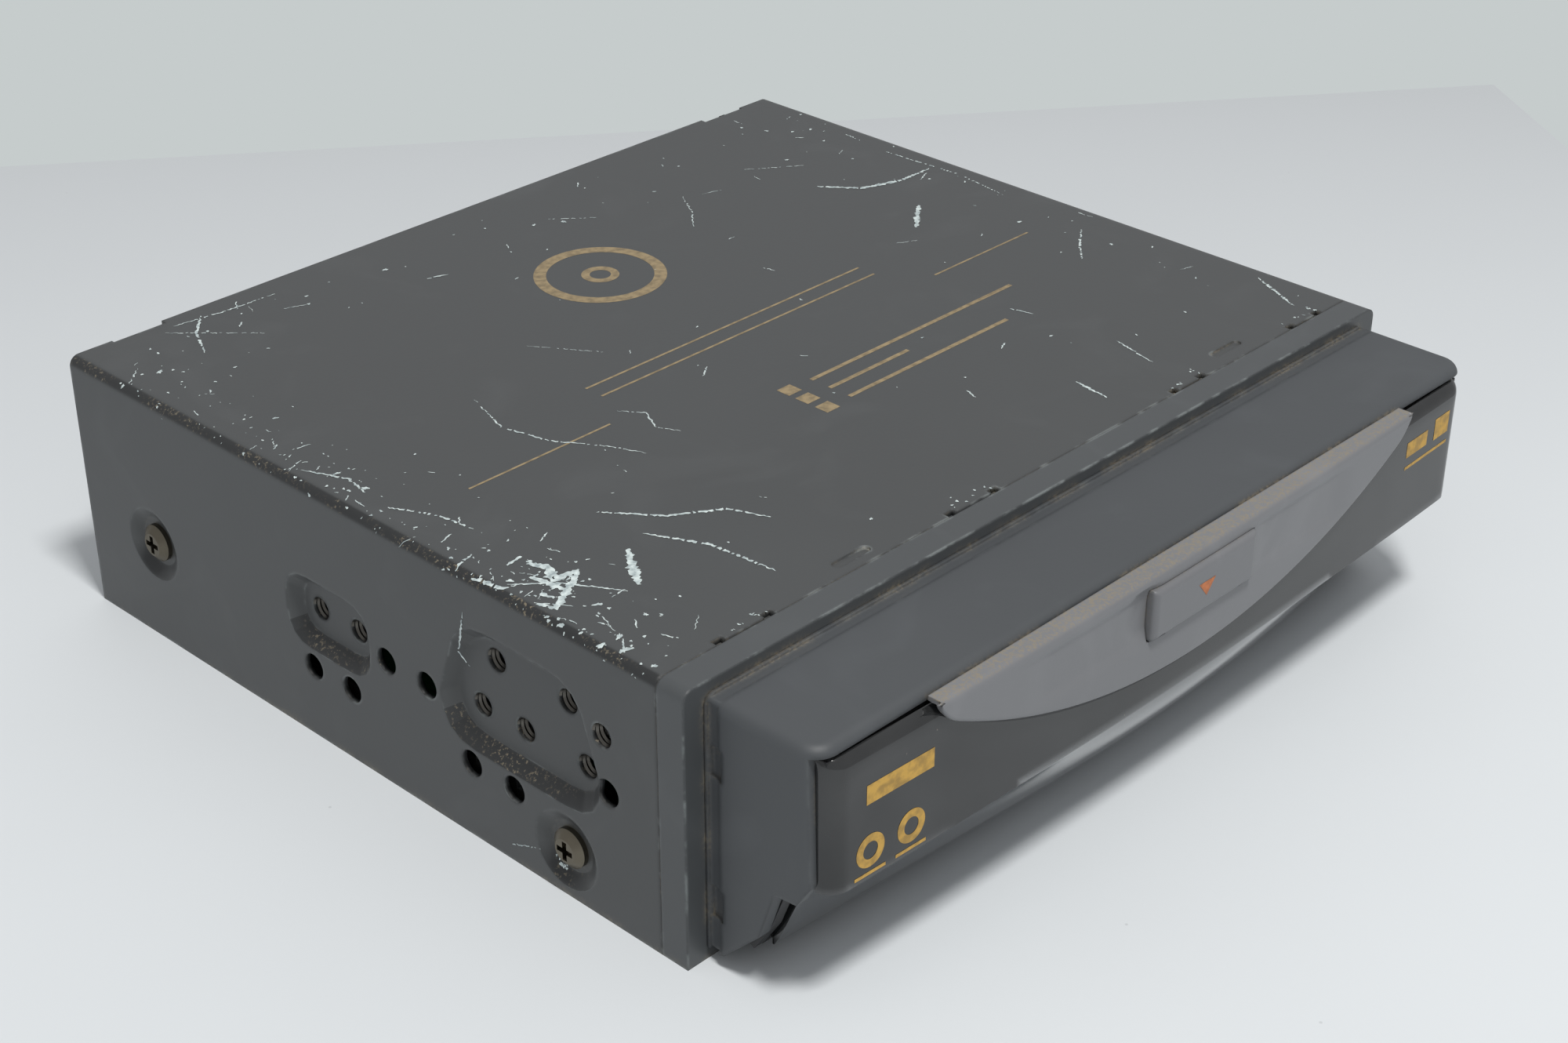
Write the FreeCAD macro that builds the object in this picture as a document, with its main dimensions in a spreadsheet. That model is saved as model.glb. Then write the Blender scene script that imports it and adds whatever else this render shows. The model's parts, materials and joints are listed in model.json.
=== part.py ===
import FreeCAD, Part
import math
import os

import Sketcher
from FreeCAD import Placement, Rotation, Vector

# A slot-loading disc player for a car: steel case, plastic nose and a front door that folds down.
# Millimetres. X is right seen from the front, Y is rearwards and Z is up.
# The origin is the bottom centre of the whole unit.
# A name that ends in _y is a distance behind the front face of the collar, so the nose has minus signs.

SIZES = {
    # case
    "case_width": 178.0,
    "case_height": 50.0,
    "case_depth": 155.6,
    "sheet": 1.0,
    "bend": 2.0,
    "seat_gap": 0.1,
    "overlap": 0.5,
    "past": 1.0,
    "part_gap": 0.3,
    "shaft_gap": 0.05,
    # collar round the front of the case
    "collar_depth": 5.5,
    "collar_opening_side": 9.0,
    "collar_opening_low": 5.0,
    "collar_skirt": 4.0,
    "skirt_wall": 1.2,
    # hook notches in the front edge of the cover
    "notch_width": 2.2,
    "notch_depth": 1.4,
    "slit_depth": 0.35,
    "hook_1_x": -70.25,
    "hook_1_half": 5.15,
    "hook_2_x": -18.0,
    "hook_2_half": 5.3,
    "hook_3_x": 39.95,
    "hook_3_half": 3.95,
    "hook_4_x": 75.4,
    "hook_4_half": 4.0,
    # half-pierced ovals in the cover
    "oval_radius": 0.9,
    "oval_length": 8.2,
    "oval_press": 0.4,
    "oval_1_x": -44.2,
    "oval_1_y": 8.6,
    "oval_2_x": 55.7,
    "oval_2_y": 9.5,
    # rear edge of the cover
    "tab_inner_x": 80.0,
    "tab_setback": 0.6,
    "flap_inner_x": 69.0,
    "flap_setback": 1.3,
    # pressed recesses in the sides
    "recess_depth": 2.2,
    "recess_slope": 2.2,
    "small_recess_front_y": 73.4,
    "small_recess_rear_y": 95.6,
    "small_recess_low": 17.9,
    "small_recess_high": 32.0,
    "small_recess_corner": 6.0,
    "large_recess_front_y": 18.2,
    "large_recess_rear_y": 55.5,
    "large_recess_low": 17.4,
    "large_recess_high": 41.0,
    "large_recess_corner": 8.0,
    "large_recess_lean": 4.0,
    # tapped holes and plain holes in the sides
    "tap_radius": 2.1,
    "burr_radius": 3.0,
    "burr_length": 1.4,
    "tap_row_low": 25.1,
    "tap_row_high": 35.2,
    "tap_1_y": 23.3,
    "tap_2_y": 37.5,
    "tap_3_y": 47.6,
    "tap_4_y": 78.8,
    "tap_5_y": 89.0,
    "tap_6_y": 27.2,
    "tap_7_y": 43.6,
    "flush_tap_y": 17.5,
    "flush_tap_z": 34.6,
    "hole_radius": 2.4,
    "hole_first_y": 38.5,
    "hole_pitch": 10.2,
    "lone_hole_y": 16.6,
    "hole_row_low": 14.4,
    "hole_row_high": 24.6,
    # dimples with the side screws
    "dimple_radius": 7.0,
    "dimple_floor_radius": 4.6,
    "dimple_depth": 1.5,
    "front_dimple_y": 26.8,
    "front_dimple_z": 8.6,
    "rear_dimple_y": 135.1,
    "rear_dimple_z": 19.7,
    "side_screw_head_radius": 3.5,
    "side_screw_head": 1.9,
    "side_screw_radius": 1.9,
    "side_screw_length": 3.8,
    # tray
    "flange_height": 12.0,
    "rear_flange_height": 7.4,
    "rear_tab_height": 27.5,
    "rear_tab_half": 9.0,
    "vent_length": 24.0,
    "vent_radius": 1.5,
    "vent_pitch": 12.0,
    "vent_y": 60.0,
    # rear panel and what it carries
    "panel_sheet": 1.2,
    "panel_inset": 1.0,
    "rear_stud_x": -12.0,
    "rear_stud_z": 38.0,
    "rear_screw_inset": 15.0,
    "rear_screw_z": 4.4,
    "small_head_radius": 2.6,
    "small_head": 1.4,
    "small_screw_radius": 1.25,
    "small_screw_length": 5.0,
    "socket_reach": 8.4,
    "antenna_x": -70.0,
    "antenna_z": 34.0,
    "antenna_radius": 6.0,
    "antenna_bore": 4.4,
    "antenna_flange": 16.0,
    "antenna_block_depth": 9.0,
    "antenna_bore_depth": 12.0,
    "control_x": -70.0,
    "control_z": 14.0,
    "control_radius": 6.5,
    "control_bore": 4.6,
    "control_half": 7.0,
    "control_block_depth": 10.0,
    "control_proud": 2.0,
    "control_bore_depth": 7.0,
    "control_key_half": 1.2,
    "audio_x": -39.0,
    "audio_z": 18.0,
    "audio_pitch_x": 14.0,
    "audio_pitch_z": 14.0,
    "audio_radius": 4.15,
    "audio_bore": 1.7,
    "audio_shell": 1.1,
    "audio_block_depth": 8.0,
    "power_x": 8.0,
    "power_z": 16.5,
    "power_width": 30.0,
    "power_height": 15.0,
    "power_wall": 1.5,
    "power_depth": 14.0,
    "pin_size": 1.0,
    "pin_pitch": 3.2,
    "fuse_x": 8.0,
    "fuse_z": 35.0,
    "fuse_width": 19.0,
    "fuse_height": 5.2,
    "sink_inset": 5.0,
    "sink_width": 52.0,
    "sink_low": 8.0,
    "sink_high": 45.0,
    "sink_base": 3.0,
    "fin_thickness": 1.6,
    "fin_pitch": 5.6,
    "sink_screw_inset": 6.0,
    "sink_window_side": 12.0,
    "sink_window_low": 10.0,
    "sink_boss_gap": 0.5,
    "short_fin_drop": 13.0,
    "amplifier_width": 14.0,
    "amplifier_depth": 3.5,
    "amplifier_gap": 2.0,
    "amplifier_top": 22.0,
    # main board
    "board": 1.6,
    "board_low": 6.4,
    "board_side_gap": 2.0,
    "board_front_y": 12.0,
    "board_rear_y": 148.0,
    "post_radius": 3.0,
    "post_inset": 9.4,
    "post_front_y": 34.0,
    "post_rear_y": 140.0,
    "chip_size": 20.0,
    "chip_height": 2.2,
    "chip_x": -22.0,
    "chip_y": 66.0,
    "can_radius": 6.3,
    "can_height": 22.0,
    "can_x": -60.0,
    "can_y": 137.0,
    "can_pitch": 14.5,
    # disc mechanism
    "disc_level": 31.0,
    "deck_half": 70.0,
    "deck_front_y": 13.0,
    "deck_rear_y": 124.0,
    "deck_low": 14.0,
    "deck_ear_front_y": 46.0,
    "deck_ear_rear_y": 116.0,
    "deck_ear_half": 5.0,
    "deck_window_half": 38.0,
    "spindle_y": 72.0,
    "plate_low": 19.0,
    "plate_left_x": -44.0,
    "plate_right_x": 67.0,
    "plate_land": 2.0,
    "pickup_way": 12.0,
    "plate_front_y": 36.0,
    "plate_rear_y": 112.0,
    "damper_radius": 4.0,
    "damper_inset": 6.0,
    "spring_radius": 5.6,
    "spring_wire": 0.25,
    "spring_turns": 3,
    "motor_radius": 12.0,
    "motor_boss_radius": 9.0,
    "motor_height": 4.2,
    "shaft_radius": 1.0,
    "table_radius": 14.5,
    "table_low": 24.6,
    "table_thickness": 2.6,
    "hub_radius": 7.2,
    "hub_height": 1.2,
    "clamper_radius": 13.0,
    "clamper_thickness": 3.0,
    "clamper_hang": 4.1,
    "clamper_neck": 5.0,
    "arm_drop": 7.4,
    "arm_tail_half": 39.0,
    "arm_nose": 9.0,
    "arm_nose_length": 12.0,
    "arm_root": 5.0,
    "arm_end": 2.0,
    "arm_window": 16.0,
    "arm_tube": 1.2,
    "arm_thickness": 1.2,
    "arm_half": 19.0,
    "clamp_pivot_y": 118.0,
    "clamp_pivot_drop": 5.0,
    "clamp_shaft_radius": 1.5,
    "rod_radius": 1.5,
    "rod_level": 23.6,
    "rod_front_y": 54.0,
    "rod_rear_y": 90.0,
    "rod_left_x": 10.0,
    "rod_right_x": 66.0,
    "rod_stand": 2.0,
    "sled_left_x": 13.0,
    "sled_right_x": 30.0,
    "sled_low": 21.2,
    "sled_high": 26.0,
    "lens_x": 24.0,
    "lens_radius": 3.0,
    "screw_y": 47.5,
    "screw_radius": 1.25,
    "sled_motor_radius": 5.0,
    "sled_motor_length": 13.0,
    # loading roller and its gears
    "roller_y": 19.0,
    "roller_z": 24.4,
    "roller_radius": 4.0,
    "roller_half": 56.0,
    "roller_shaft_radius": 1.5,
    "bush_radius": 3.0,
    "bush_length": 3.0,
    "module": 0.5,
    "roller_teeth": 18,
    "idler_teeth": 40,
    "pinion_teeth": 14,
    "train_angle": 18.0,
    "gear_width": 3.0,
    "gear_gap": 0.6,
    "load_motor_radius": 5.0,
    "load_motor_length": 20.0,
    "guide_front_y": 15.0,
    "guide_rear_y": 40.0,
    "guide_clear": 2.9,
    "guide_thickness": 2.0,
    "guide_leg": 2.0,
    "rib_half": 0.8,
    "rib_spread": 30.0,
    # board on top of the mechanism and its ribbon
    "servo_board": 1.2,
    "servo_head_room": 1.7,
    "servo_front_y": 76.0,
    "servo_half": 56.0,
    "ribbon_width": 20.0,
    "ribbon": 0.4,
    "ribbon_y": 129.0,
    "ribbon_clear": 0.1,
    "plug_side": 1.4,
    "plug_length": 4.0,
    "plug_height": 2.4,
    "chip_half": 8.0,
    "chip_inset": 12.0,
    "chip_height": 1.6,
    "chip_sunk": 0.2,
    # nose
    "nose_inset": 4.0,
    "nose_low": 2.4,
    "nose_high": 48.0,
    "nose_wall": 1.7,
    "cheek": 2.4,
    "nose_frame": 3.0,
    "nose_flange": 0.7,
    "neck_waist": 0.4,
    "nose_round": 2.0,
    "nose_corner": 4.2,
    "shell_reach": 22.3,
    "cheek_top_reach": 20.0,
    "cheek_reach": 20.6,
    "cheek_low": 23.7,
    "notch_reach": 18.6,
    "notch_low": 20.2,
    "chin_reach": 14.2,
    "chin_high": 19.7,
    "chin_mid_reach": 11.0,
    "chin_mid_z": 10.1,
    "heel_reach": 4.0,
    "snap_near": 0.9,
    "snap_far": 3.6,
    "snap_1_low": 34.2,
    "snap_1_high": 39.8,
    "snap_2_low": 8.6,
    "snap_2_high": 14.5,
    "snap_press": 1.0,
    "nose_screw_inset": 3.4,
    "nose_screw_spread": 14.0,
    "nose_screw_z": 24.5,
    "nose_screw_head": 1.8,
    # slot bezel behind the door
    "bezel_reach": 18.0,
    "bezel_wall": 1.6,
    "bezel_low": 24.0,
    "slot_half": 62.0,
    "slot_height": 6.4,
    "duct_wall": 1.2,
    "duct_rear_y": 12.6,
    "felt": 0.8,
    "key_inset": 11.2,
    "key_z": 40.4,
    "key_width": 9.0,
    "key_height": 3.4,
    "key_proud": 0.8,
    "key_depth": 5.6,
    "key_travel": 0.8,
    "front_board_left_x": 24.0,
    # door
    "door_inset": 2.0,
    "door_back": 21.9,
    "door_edge": 1.5,
    "door_bow": 1.9,
    "door_low": 22.5,
    "door_high": 45.8,
    "door_corner": 6.0,
    "chin_inset": 5.8,
    "chin_wall": 2.0,
    "chin_foot_z": 4.2,
    "chin_end_reach": 21.8,
    "chin_end_pull_1_reach": 13.5,
    "chin_end_pull_1_z": 21.5,
    "chin_end_pull_2_reach": 12.5,
    "chin_end_pull_2_z": 10.0,
    "chin_end_foot": 7.4,
    "chin_mid_front": 24.8,
    "chin_mid_pull_1_reach": 23.6,
    "chin_mid_pull_1_z": 16.5,
    "chin_mid_pull_2_reach": 19.0,
    "chin_mid_pull_2_z": 9.5,
    "chin_mid_foot": 11.6,
    "chin_rear": 6.9,
    "hinge_reach": 8.2,
    "hinge_z": 9.0,
    "hinge_pin_radius": 1.25,
    "ear": 2.4,
    "ear_inset": 0.2,
    "ear_boss": 3.8,
    "ear_lean": 4.6,
    "ear_bend": 15.0,
    "ear_height": 22.0,
    "carrier": 1.7,
    "carrier_low": 24.4,
    "carrier_high": 45.4,
    "crescent_half": 62.0,
    "crescent_top": 47.4,
    "crescent_dip": 28.1,
    "crescent_radius": 127.3,
    "crescent_proud": 1.2,
    "button_half": 13.5,
    "button_low": 36.0,
    "button_high": 45.0,
    "button_proud": 1.0,
    "button_gap": 0.3,
    "button_rear": 23.6,
    "button_round": 1.0,
    "stem_half": 3.0,
    "stem_low": 42.0,
    "stem_high": 43.8,
    "latch_half": 5.0,
    "latch": 1.5,
    "latch_low": 36.0,
    "latch_high": 43.1,
    "latch_drop": 1.2,
    "hook_half": 3.0,
    "hook_low": 38.6,
    "hook": 1.4,
    "hook_reach": 13.8,
    "hook_barb": 1.1,
    "hook_barb_length": 1.8,
    "display_half": 48.0,
    "display_low": 25.6,
    "display_high": 34.0,
    "display_depth": 1.6,
    "door_board_inset": 9.0,
    "door_board_width": 62.0,
    "door_board_height": 9.0,
    "coil_radius": 2.2,
    "coil_wire": 0.25,
    "coil_x": 9.0,
    "coil_z": 40.4,
    # damper of the door
    "hinge_teeth": 18,
    "damper_teeth": 14,
    "damper_angle": 30.0,
    "damper_gear_width": 1.3,
    "damper_body_radius": 3.1,
    "damper_gear_x": 78.6,
    "damper_body_length": 4.0,
}

doc = FreeCAD.newDocument("disc_player")
sheet = doc.addObject("Spreadsheet::Sheet", "Sizes")
nodes = []


class Size:
    """A number together with the sheet formula that it comes from."""

    def __init__(self, value, text):
        self.value = value
        self.text = text

    def __add__(self, other):
        return joined(self, "+", other)

    def __radd__(self, other):
        return joined(other, "+", self)

    def __sub__(self, other):
        return joined(self, "-", other)

    def __rsub__(self, other):
        return joined(other, "-", self)

    def __mul__(self, other):
        return joined(self, "*", other)

    def __rmul__(self, other):
        return joined(other, "*", self)

    def __truediv__(self, other):
        return joined(self, "/", other)

    def __neg__(self):
        return joined(0, "-", self)


def as_size(number):
    """Plain numbers take part in formulas as they are."""
    if isinstance(number, Size):
        return number
    return Size(float(number), f"({float(number)!r})")


def joined(left, sign, right):
    left = as_size(left)
    right = as_size(right)
    results = {
        "+": left.value + right.value,
        "-": left.value - right.value,
        "*": left.value * right.value,
        "/": left.value / (right.value or 1.0),
    }
    return Size(results[sign], f"({left.text} {sign} {right.text})")


def size(name):
    """The size of this name, bound to its cell."""
    return Size(float(SIZES[name]), f"Sizes.{name}")


class Named:
    """Lets a size be written as d.case_width."""

    def __getattr__(self, name):
        return size(name)


d = Named()

for row, (name, number) in enumerate(SIZES.items(), start=1):
    sheet.set(f"A{row}", name)
    sheet.set(f"B{row}", str(number))
    sheet.setAlias(f"B{row}", name)
doc.recompute()


# Places that several sub-parts share

NOSE_REACH = d.door_back + d.door_edge + d.door_bow + d.crescent_proud + d.button_proud
REAR_REACH = d.case_depth + d.socket_reach
COLLAR = (NOSE_REACH - REAR_REACH) / 2
HALF = d.case_width / 2
INNER = HALF - d.sheet
SIDES = (-1, 1)
NOSE_HALF = HALF - d.nose_inset
DOOR_HALF = NOSE_HALF - d.door_inset
CHIN_HALF = NOSE_HALF - d.chin_inset
NOSE_SCREW_X = NOSE_HALF - d.nose_screw_inset
KEY_X = CHIN_HALF - d.key_inset
REAR_SCREW_X = HALF - d.rear_screw_inset
SINK_RIGHT = HALF - d.sink_inset
SINK_LEFT = SINK_RIGHT - d.sink_width
SERVO_LOW = d.case_height - d.sheet - d.servo_head_room - d.servo_board
DECK_HIGH = SERVO_LOW - d.seat_gap
ARM_LOW = DECK_HIGH - d.arm_drop
CLAMPER_LOW = ARM_LOW - d.clamper_hang


def depth(distance):
    """The Y of a place this far behind the collar's front face."""
    return COLLAR + distance


TOUCHING = 0.001


def pair(side, near, far):
    """The low and high X of a piece between two distances from the middle, on one side."""
    ends = (as_size(near) * side, as_size(far) * side)
    return ends if side > 0 else (ends[1], ends[0])


# Building blocks


def bind(item, name, value):
    item.setExpression(name, as_size(value).text)


def place(item, point):
    for axis, value in zip("xyz", point):
        bind(item, f"Placement.Base.{axis}", value)


def box(name, x, y, z):
    """A block between a low and a high value on each axis."""
    item = doc.addObject("Part::Box", name)
    for length, (low, high) in zip(("Length", "Width", "Height"), (x, y, z)):
        bind(item, length, high - low)
    place(item, (x[0], y[0], z[0]))
    return item


TURNS = {
    "X": Rotation(Vector(0, 1, 0), 90),
    "Y": Rotation(Vector(1, 0, 0), -90),
    "Z": Rotation(),
}


def on_axis(axis, across, along):
    """A point from its two coordinates across an axis and its one along it."""
    u, v = across
    return {"X": (along, u, v), "Y": (u, along, v), "Z": (u, v, along)}[axis]


def rod(name, axis, across, radius, low, high):
    """A round bar along an axis."""
    item = doc.addObject("Part::Cylinder", name)
    item.Placement = Placement(Vector(), TURNS[axis])
    bind(item, "Radius", radius)
    bind(item, "Height", high - low)
    place(item, on_axis(axis, across, low))
    return item


def cone(name, axis, across, low, low_radius, high, high_radius):
    """A round taper along an axis."""
    item = doc.addObject("Part::Cone", name)
    item.Placement = Placement(Vector(), TURNS[axis])
    bind(item, "Radius1", low_radius)
    bind(item, "Radius2", high_radius)
    bind(item, "Height", high - low)
    place(item, on_axis(axis, across, low))
    return item


def fuse(name, parts):
    item = doc.addObject("Part::MultiFuse", name)
    item.Shapes = parts
    item.Refine = True
    return item


def common(name, parts):
    item = doc.addObject("Part::MultiCommon", name)
    item.Shapes = parts
    return item


def cut(name, base, tools):
    item = doc.addObject("Part::Cut", name)
    item.Base = base
    item.Tool = tools[0] if len(tools) == 1 else fuse(name + "_tools", tools)
    item.Refine = True
    return item


def group(name, parts):
    """Separate solids of one kind in one node."""
    item = doc.addObject("Part::Compound", name)
    item.Links = parts
    return item


def solid(name, shape):
    """A piece whose shape is worked out directly."""
    item = doc.addObject("Part::Feature", name)
    item.Shape = shape
    return item


def node(label, item):
    """Registers a sub-part under the name that its file gets."""
    item.Label = label
    nodes.append(item)
    return item


# Sketched bodies

NORMAL = {"XY": 1, "YZ": 1, "XZ": -1}


class Circle:
    def __init__(self, u, v, radius):
        self.values = (as_size(u), as_size(v), as_size(radius))


class Slot:
    """A slot along the sketch's first axis, from the middle of one round end to the other."""

    def __init__(self, start, end, v, radius):
        self.values = (as_size(start), as_size(end), as_size(v), as_size(radius))


def rectangle(u, v):
    return [(u[0], v[0]), (u[1], v[0]), (u[1], v[1]), (u[0], v[1])]


def body(name):
    return doc.addObject("PartDesign::Body", name)


def hold(item, kind, geometry, point, value):
    """Ties one coordinate of a sketch point to a size."""
    index = item.addConstraint(Sketcher.Constraint(kind, -1, 1, geometry, point, value.value))
    item.setExpression(f"Constraints[{index}]", value.text)


def draw_circle(item, circle):
    u, v, radius = circle.values
    index = item.addGeometry(Part.Circle(Vector(u.value, v.value, 0), Vector(0, 0, 1), radius.value))
    hold(item, "DistanceX", index, 3, u)
    hold(item, "DistanceY", index, 3, v)
    rule = item.addConstraint(Sketcher.Constraint("Radius", index, radius.value))
    item.setExpression(f"Constraints[{rule}]", radius.text)


def draw_slot(item, slot):
    start, end, v, radius = slot.values
    a, b, level, r = start.value, end.value, v.value, radius.value
    up = Vector(0, 0, 1)
    top = item.addGeometry(Part.LineSegment(Vector(a, level + r, 0), Vector(b, level + r, 0)))
    right = item.addGeometry(
        Part.ArcOfCircle(Part.Circle(Vector(b, level, 0), up, r), -math.pi / 2, math.pi / 2))
    low = item.addGeometry(Part.LineSegment(Vector(b, level - r, 0), Vector(a, level - r, 0)))
    left = item.addGeometry(
        Part.ArcOfCircle(Part.Circle(Vector(a, level, 0), up, r), math.pi / 2, 3 * math.pi / 2))
    item.addConstraint(Sketcher.Constraint("Tangent", top, 2, right, 2))
    item.addConstraint(Sketcher.Constraint("Tangent", right, 1, low, 1))
    item.addConstraint(Sketcher.Constraint("Tangent", low, 2, left, 2))
    item.addConstraint(Sketcher.Constraint("Tangent", left, 1, top, 1))
    item.addConstraint(Sketcher.Constraint("Equal", right, left))
    hold(item, "DistanceX", right, 3, end)
    hold(item, "DistanceY", right, 3, v)
    hold(item, "DistanceX", left, 3, start)
    hold(item, "DistanceY", left, 3, v)
    rule = item.addConstraint(Sketcher.Constraint("Radius", right, r))
    item.setExpression(f"Constraints[{rule}]", radius.text)


def draw_polygon(item, points):
    points = [(as_size(u), as_size(v)) for u, v in points]
    ends = [Vector(u.value, v.value, 0) for u, v in points]
    count = len(points)
    lines = [item.addGeometry(Part.LineSegment(ends[i], ends[(i + 1) % count])) for i in range(count)]
    for i in range(count):
        item.addConstraint(Sketcher.Constraint("Coincident", lines[i], 2, lines[(i + 1) % count], 1))
    for line, (u, v) in zip(lines, points):
        hold(item, "DistanceX", line, 1, u)
        hold(item, "DistanceY", line, 1, v)


def sketch(owner, plane, outlines, offset):
    """Outlines on one of the body's own planes, moved along the plane's normal."""
    item = owner.newObject("Sketcher::SketchObject", owner.Name + "_sketch")
    base = [part for part in owner.Origin.OriginFeatures if part.Role == plane + "_Plane"]
    item.AttachmentSupport = [(base[0], "")]
    item.MapMode = "FlatFace"
    bind(item, "AttachmentOffset.Base.z", offset)
    for outline in outlines:
        if isinstance(outline, Circle):
            draw_circle(item, outline)
        elif isinstance(outline, Slot):
            draw_slot(item, outline)
        else:
            draw_polygon(item, outline)
    return item


def pad(owner, plane, outlines, low, high):
    """Adds the outlines between two places along the plane's normal."""
    offset = low if NORMAL[plane] > 0 else -high
    profile = sketch(owner, plane, outlines, offset)
    item = owner.newObject("PartDesign::Pad", owner.Name + "_pad")
    item.Profile = profile
    bind(item, "Length", high - low)
    return item


def pocket(owner, plane, outlines, low, high):
    """Cuts the outlines between two places, and fails if that takes nothing away."""
    doc.recompute()
    before = owner.Shape.Volume
    offset = high if NORMAL[plane] > 0 else -low
    profile = sketch(owner, plane, outlines, offset)
    item = owner.newObject("PartDesign::Pocket", owner.Name + "_pocket")
    item.Profile = profile
    bind(item, "Length", high - low)
    doc.recompute()
    if owner.Shape.Volume > before - TOUCHING:
        raise RuntimeError(f"a pocket in {owner.Name} cuts nothing")
    return item


def loft(owner, kind, plane, sections):
    """Joins outlines at several places along the plane's normal with straight lines."""
    profiles = [sketch(owner, plane, [points], offset * NORMAL[plane]) for offset, points in sections]
    item = owner.newObject(f"PartDesign::{kind}Loft", owner.Name + "_loft")
    item.Profile = profiles[0]
    item.Sections = profiles[1:]
    item.Ruled = True
    return item


def round_edges(owner, radius, pick):
    """Rounds the edges that pick accepts."""
    doc.recompute()
    base = owner.Tip
    names = [f"Edge{i}" for i, edge in enumerate(base.Shape.Edges, start=1) if pick(edge)]
    if not names:
        raise RuntimeError(f"no edge of {owner.Name} to round")
    item = owner.newObject("PartDesign::Fillet", owner.Name + "_round")
    item.Base = (base, names)
    bind(item, "Radius", radius)
    return item


def runs_along(axis, spots):
    """Accepts straight edges along an axis that pass through one of the spots across it."""
    index = "XYZ".index(axis)

    def pick(edge):
        start = edge.Vertexes[0].Point
        end = edge.Vertexes[-1].Point
        across = [i for i in range(3) if i != index]
        if any(abs(start[i] - end[i]) > TOUCHING for i in across):
            return False
        return any(all(abs(start[i] - as_size(value).value) < 0.01 for i, value in zip(across, spot))
                   for spot in spots)

    return pick


def at_front(front):
    """Accepts the edges that lie in a plane across Y."""

    def pick(edge):
        span = edge.BoundBox
        return max(abs(span.YMax - front.value), abs(span.YMin - front.value)) < TOUCHING

    return pick


def rim_before(level, rear):
    """Accepts the edges in a plane across Z, apart from the one at the rear."""

    def pick(edge):
        span = edge.BoundBox
        return abs(span.ZMin - as_size(level).value) < TOUCHING and span.YMin < rear.value - TOUCHING

    return pick


def shrunk(points, centre, factors):
    """An outline drawn in towards its centre, by one factor along each axis."""
    return [tuple(c + (p - c) * k for p, c, k in zip(point, centre, factors)) for point in points]


# Gears


def involute_point(base, radius, start):
    """A point of the involute of a base circle at a radius, turned by a start angle."""
    swing = math.sqrt(max((radius / base) ** 2 - 1.0, 0.0))
    angle = start + swing - math.atan(swing)
    return radius * math.cos(angle), radius * math.sin(angle)


def gear_outline(teeth, module, phase):
    """Points of a spur gear with short teeth and some backlash, tooth 0 at the phase angle."""
    pressure = math.radians(20.0)
    backlash = 0.05
    pitch = module * teeth / 2
    base = pitch * math.cos(pressure)
    tip = pitch + 0.8 * module
    root = pitch - 1.1 * module
    half = math.pi / (2 * teeth) - backlash / pitch / 2
    spread = math.tan(pressure) - pressure
    levels = [max(base, root + 0.01) + (tip - max(base, root + 0.01)) * i / 4 for i in range(5)]
    points = []
    for tooth in range(teeth):
        middle = phase + 2 * math.pi * tooth / teeth
        flank = [involute_point(base, level, -half - spread) for level in levels]
        flank.insert(0, (root * math.cos(-half - spread), root * math.sin(-half - spread)))
        both = flank + [(x, -y) for x, y in reversed(flank)]
        for x, y in both:
            points.append((x * math.cos(middle) - y * math.sin(middle),
                           x * math.sin(middle) + y * math.cos(middle)))
    return points


def gear(teeth, centre, phase, low, high, bore):
    """A spur gear along X with a bore, from the left end to the right."""
    outline = gear_outline(int(teeth.value), d.module.value, phase)
    y, z = centre[0].value, centre[1].value
    ring = [Vector(low.value, y + u, z + v) for u, v in outline]
    width = Vector(high.value - low.value, 0, 0)
    blank = Part.Face(Part.makePolygon(ring + ring[:1])).extrude(width)
    if bore is None:
        return blank
    hole = Part.makeCylinder(bore.value, width.x, Vector(low.value, y, z), Vector(1, 0, 0))
    return blank.cut(hole)


def meshing_phase(teeth, other_teeth, other_phase, direction):
    """The phase that puts a gap of a gear against a tooth of its neighbour.

    The direction is the angle from the neighbour's centre to the gear's centre.
    """
    turn = 2 * math.pi
    tooth = (other_teeth * (direction - other_phase) / turn) % 1.0
    return direction + math.pi - (0.5 - tooth) * turn / teeth


# Case


CORNER_STEPS = (0.0, 0.25, 0.5, 0.75, 1.0)


def round_corner(before, corner, after):
    """Points of the bow that replaces a corner, from a point before it to a point after it."""
    return [tuple(a * ((1 - t) ** 2) + c * (2 * t * (1 - t)) + b * (t ** 2)
                  for a, c, b in zip(before, corner, after))
            for t in CORNER_STEPS]


def recess_outline(front, rear, low, high, corner, lean):
    """A pressed area seen from the side: a rectangle with round corners that leans in at the top."""
    slant = lean * corner / (high - low)
    outline = round_corner((front, low + corner), (front, low), (front + corner, low))
    outline += round_corner((rear - corner, low), (rear, low), (rear, low + corner))
    outline += round_corner((rear - lean + slant, high - corner), (rear - lean, high),
                            (rear - lean - corner, high))
    outline += round_corner((front + lean + corner, high), (front + lean, high),
                            (front + lean - slant, high - corner))
    return outline


def side_recesses():
    """The two pressed areas of a side as outline, centre and half lengths."""
    small = (depth(d.small_recess_front_y), depth(d.small_recess_rear_y),
             d.small_recess_low, d.small_recess_high, d.small_recess_corner, as_size(0))
    large = (depth(d.large_recess_front_y), depth(d.large_recess_rear_y),
             d.large_recess_low, d.large_recess_high, d.large_recess_corner, d.large_recess_lean)
    for front, rear, low, high, corner, lean in (small, large):
        centre = ((front + rear) / 2, (low + high) / 2)
        halves = ((rear - front) / 2, (high - low) / 2)
        yield recess_outline(front, rear, low, high, corner, lean), centre, halves


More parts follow.
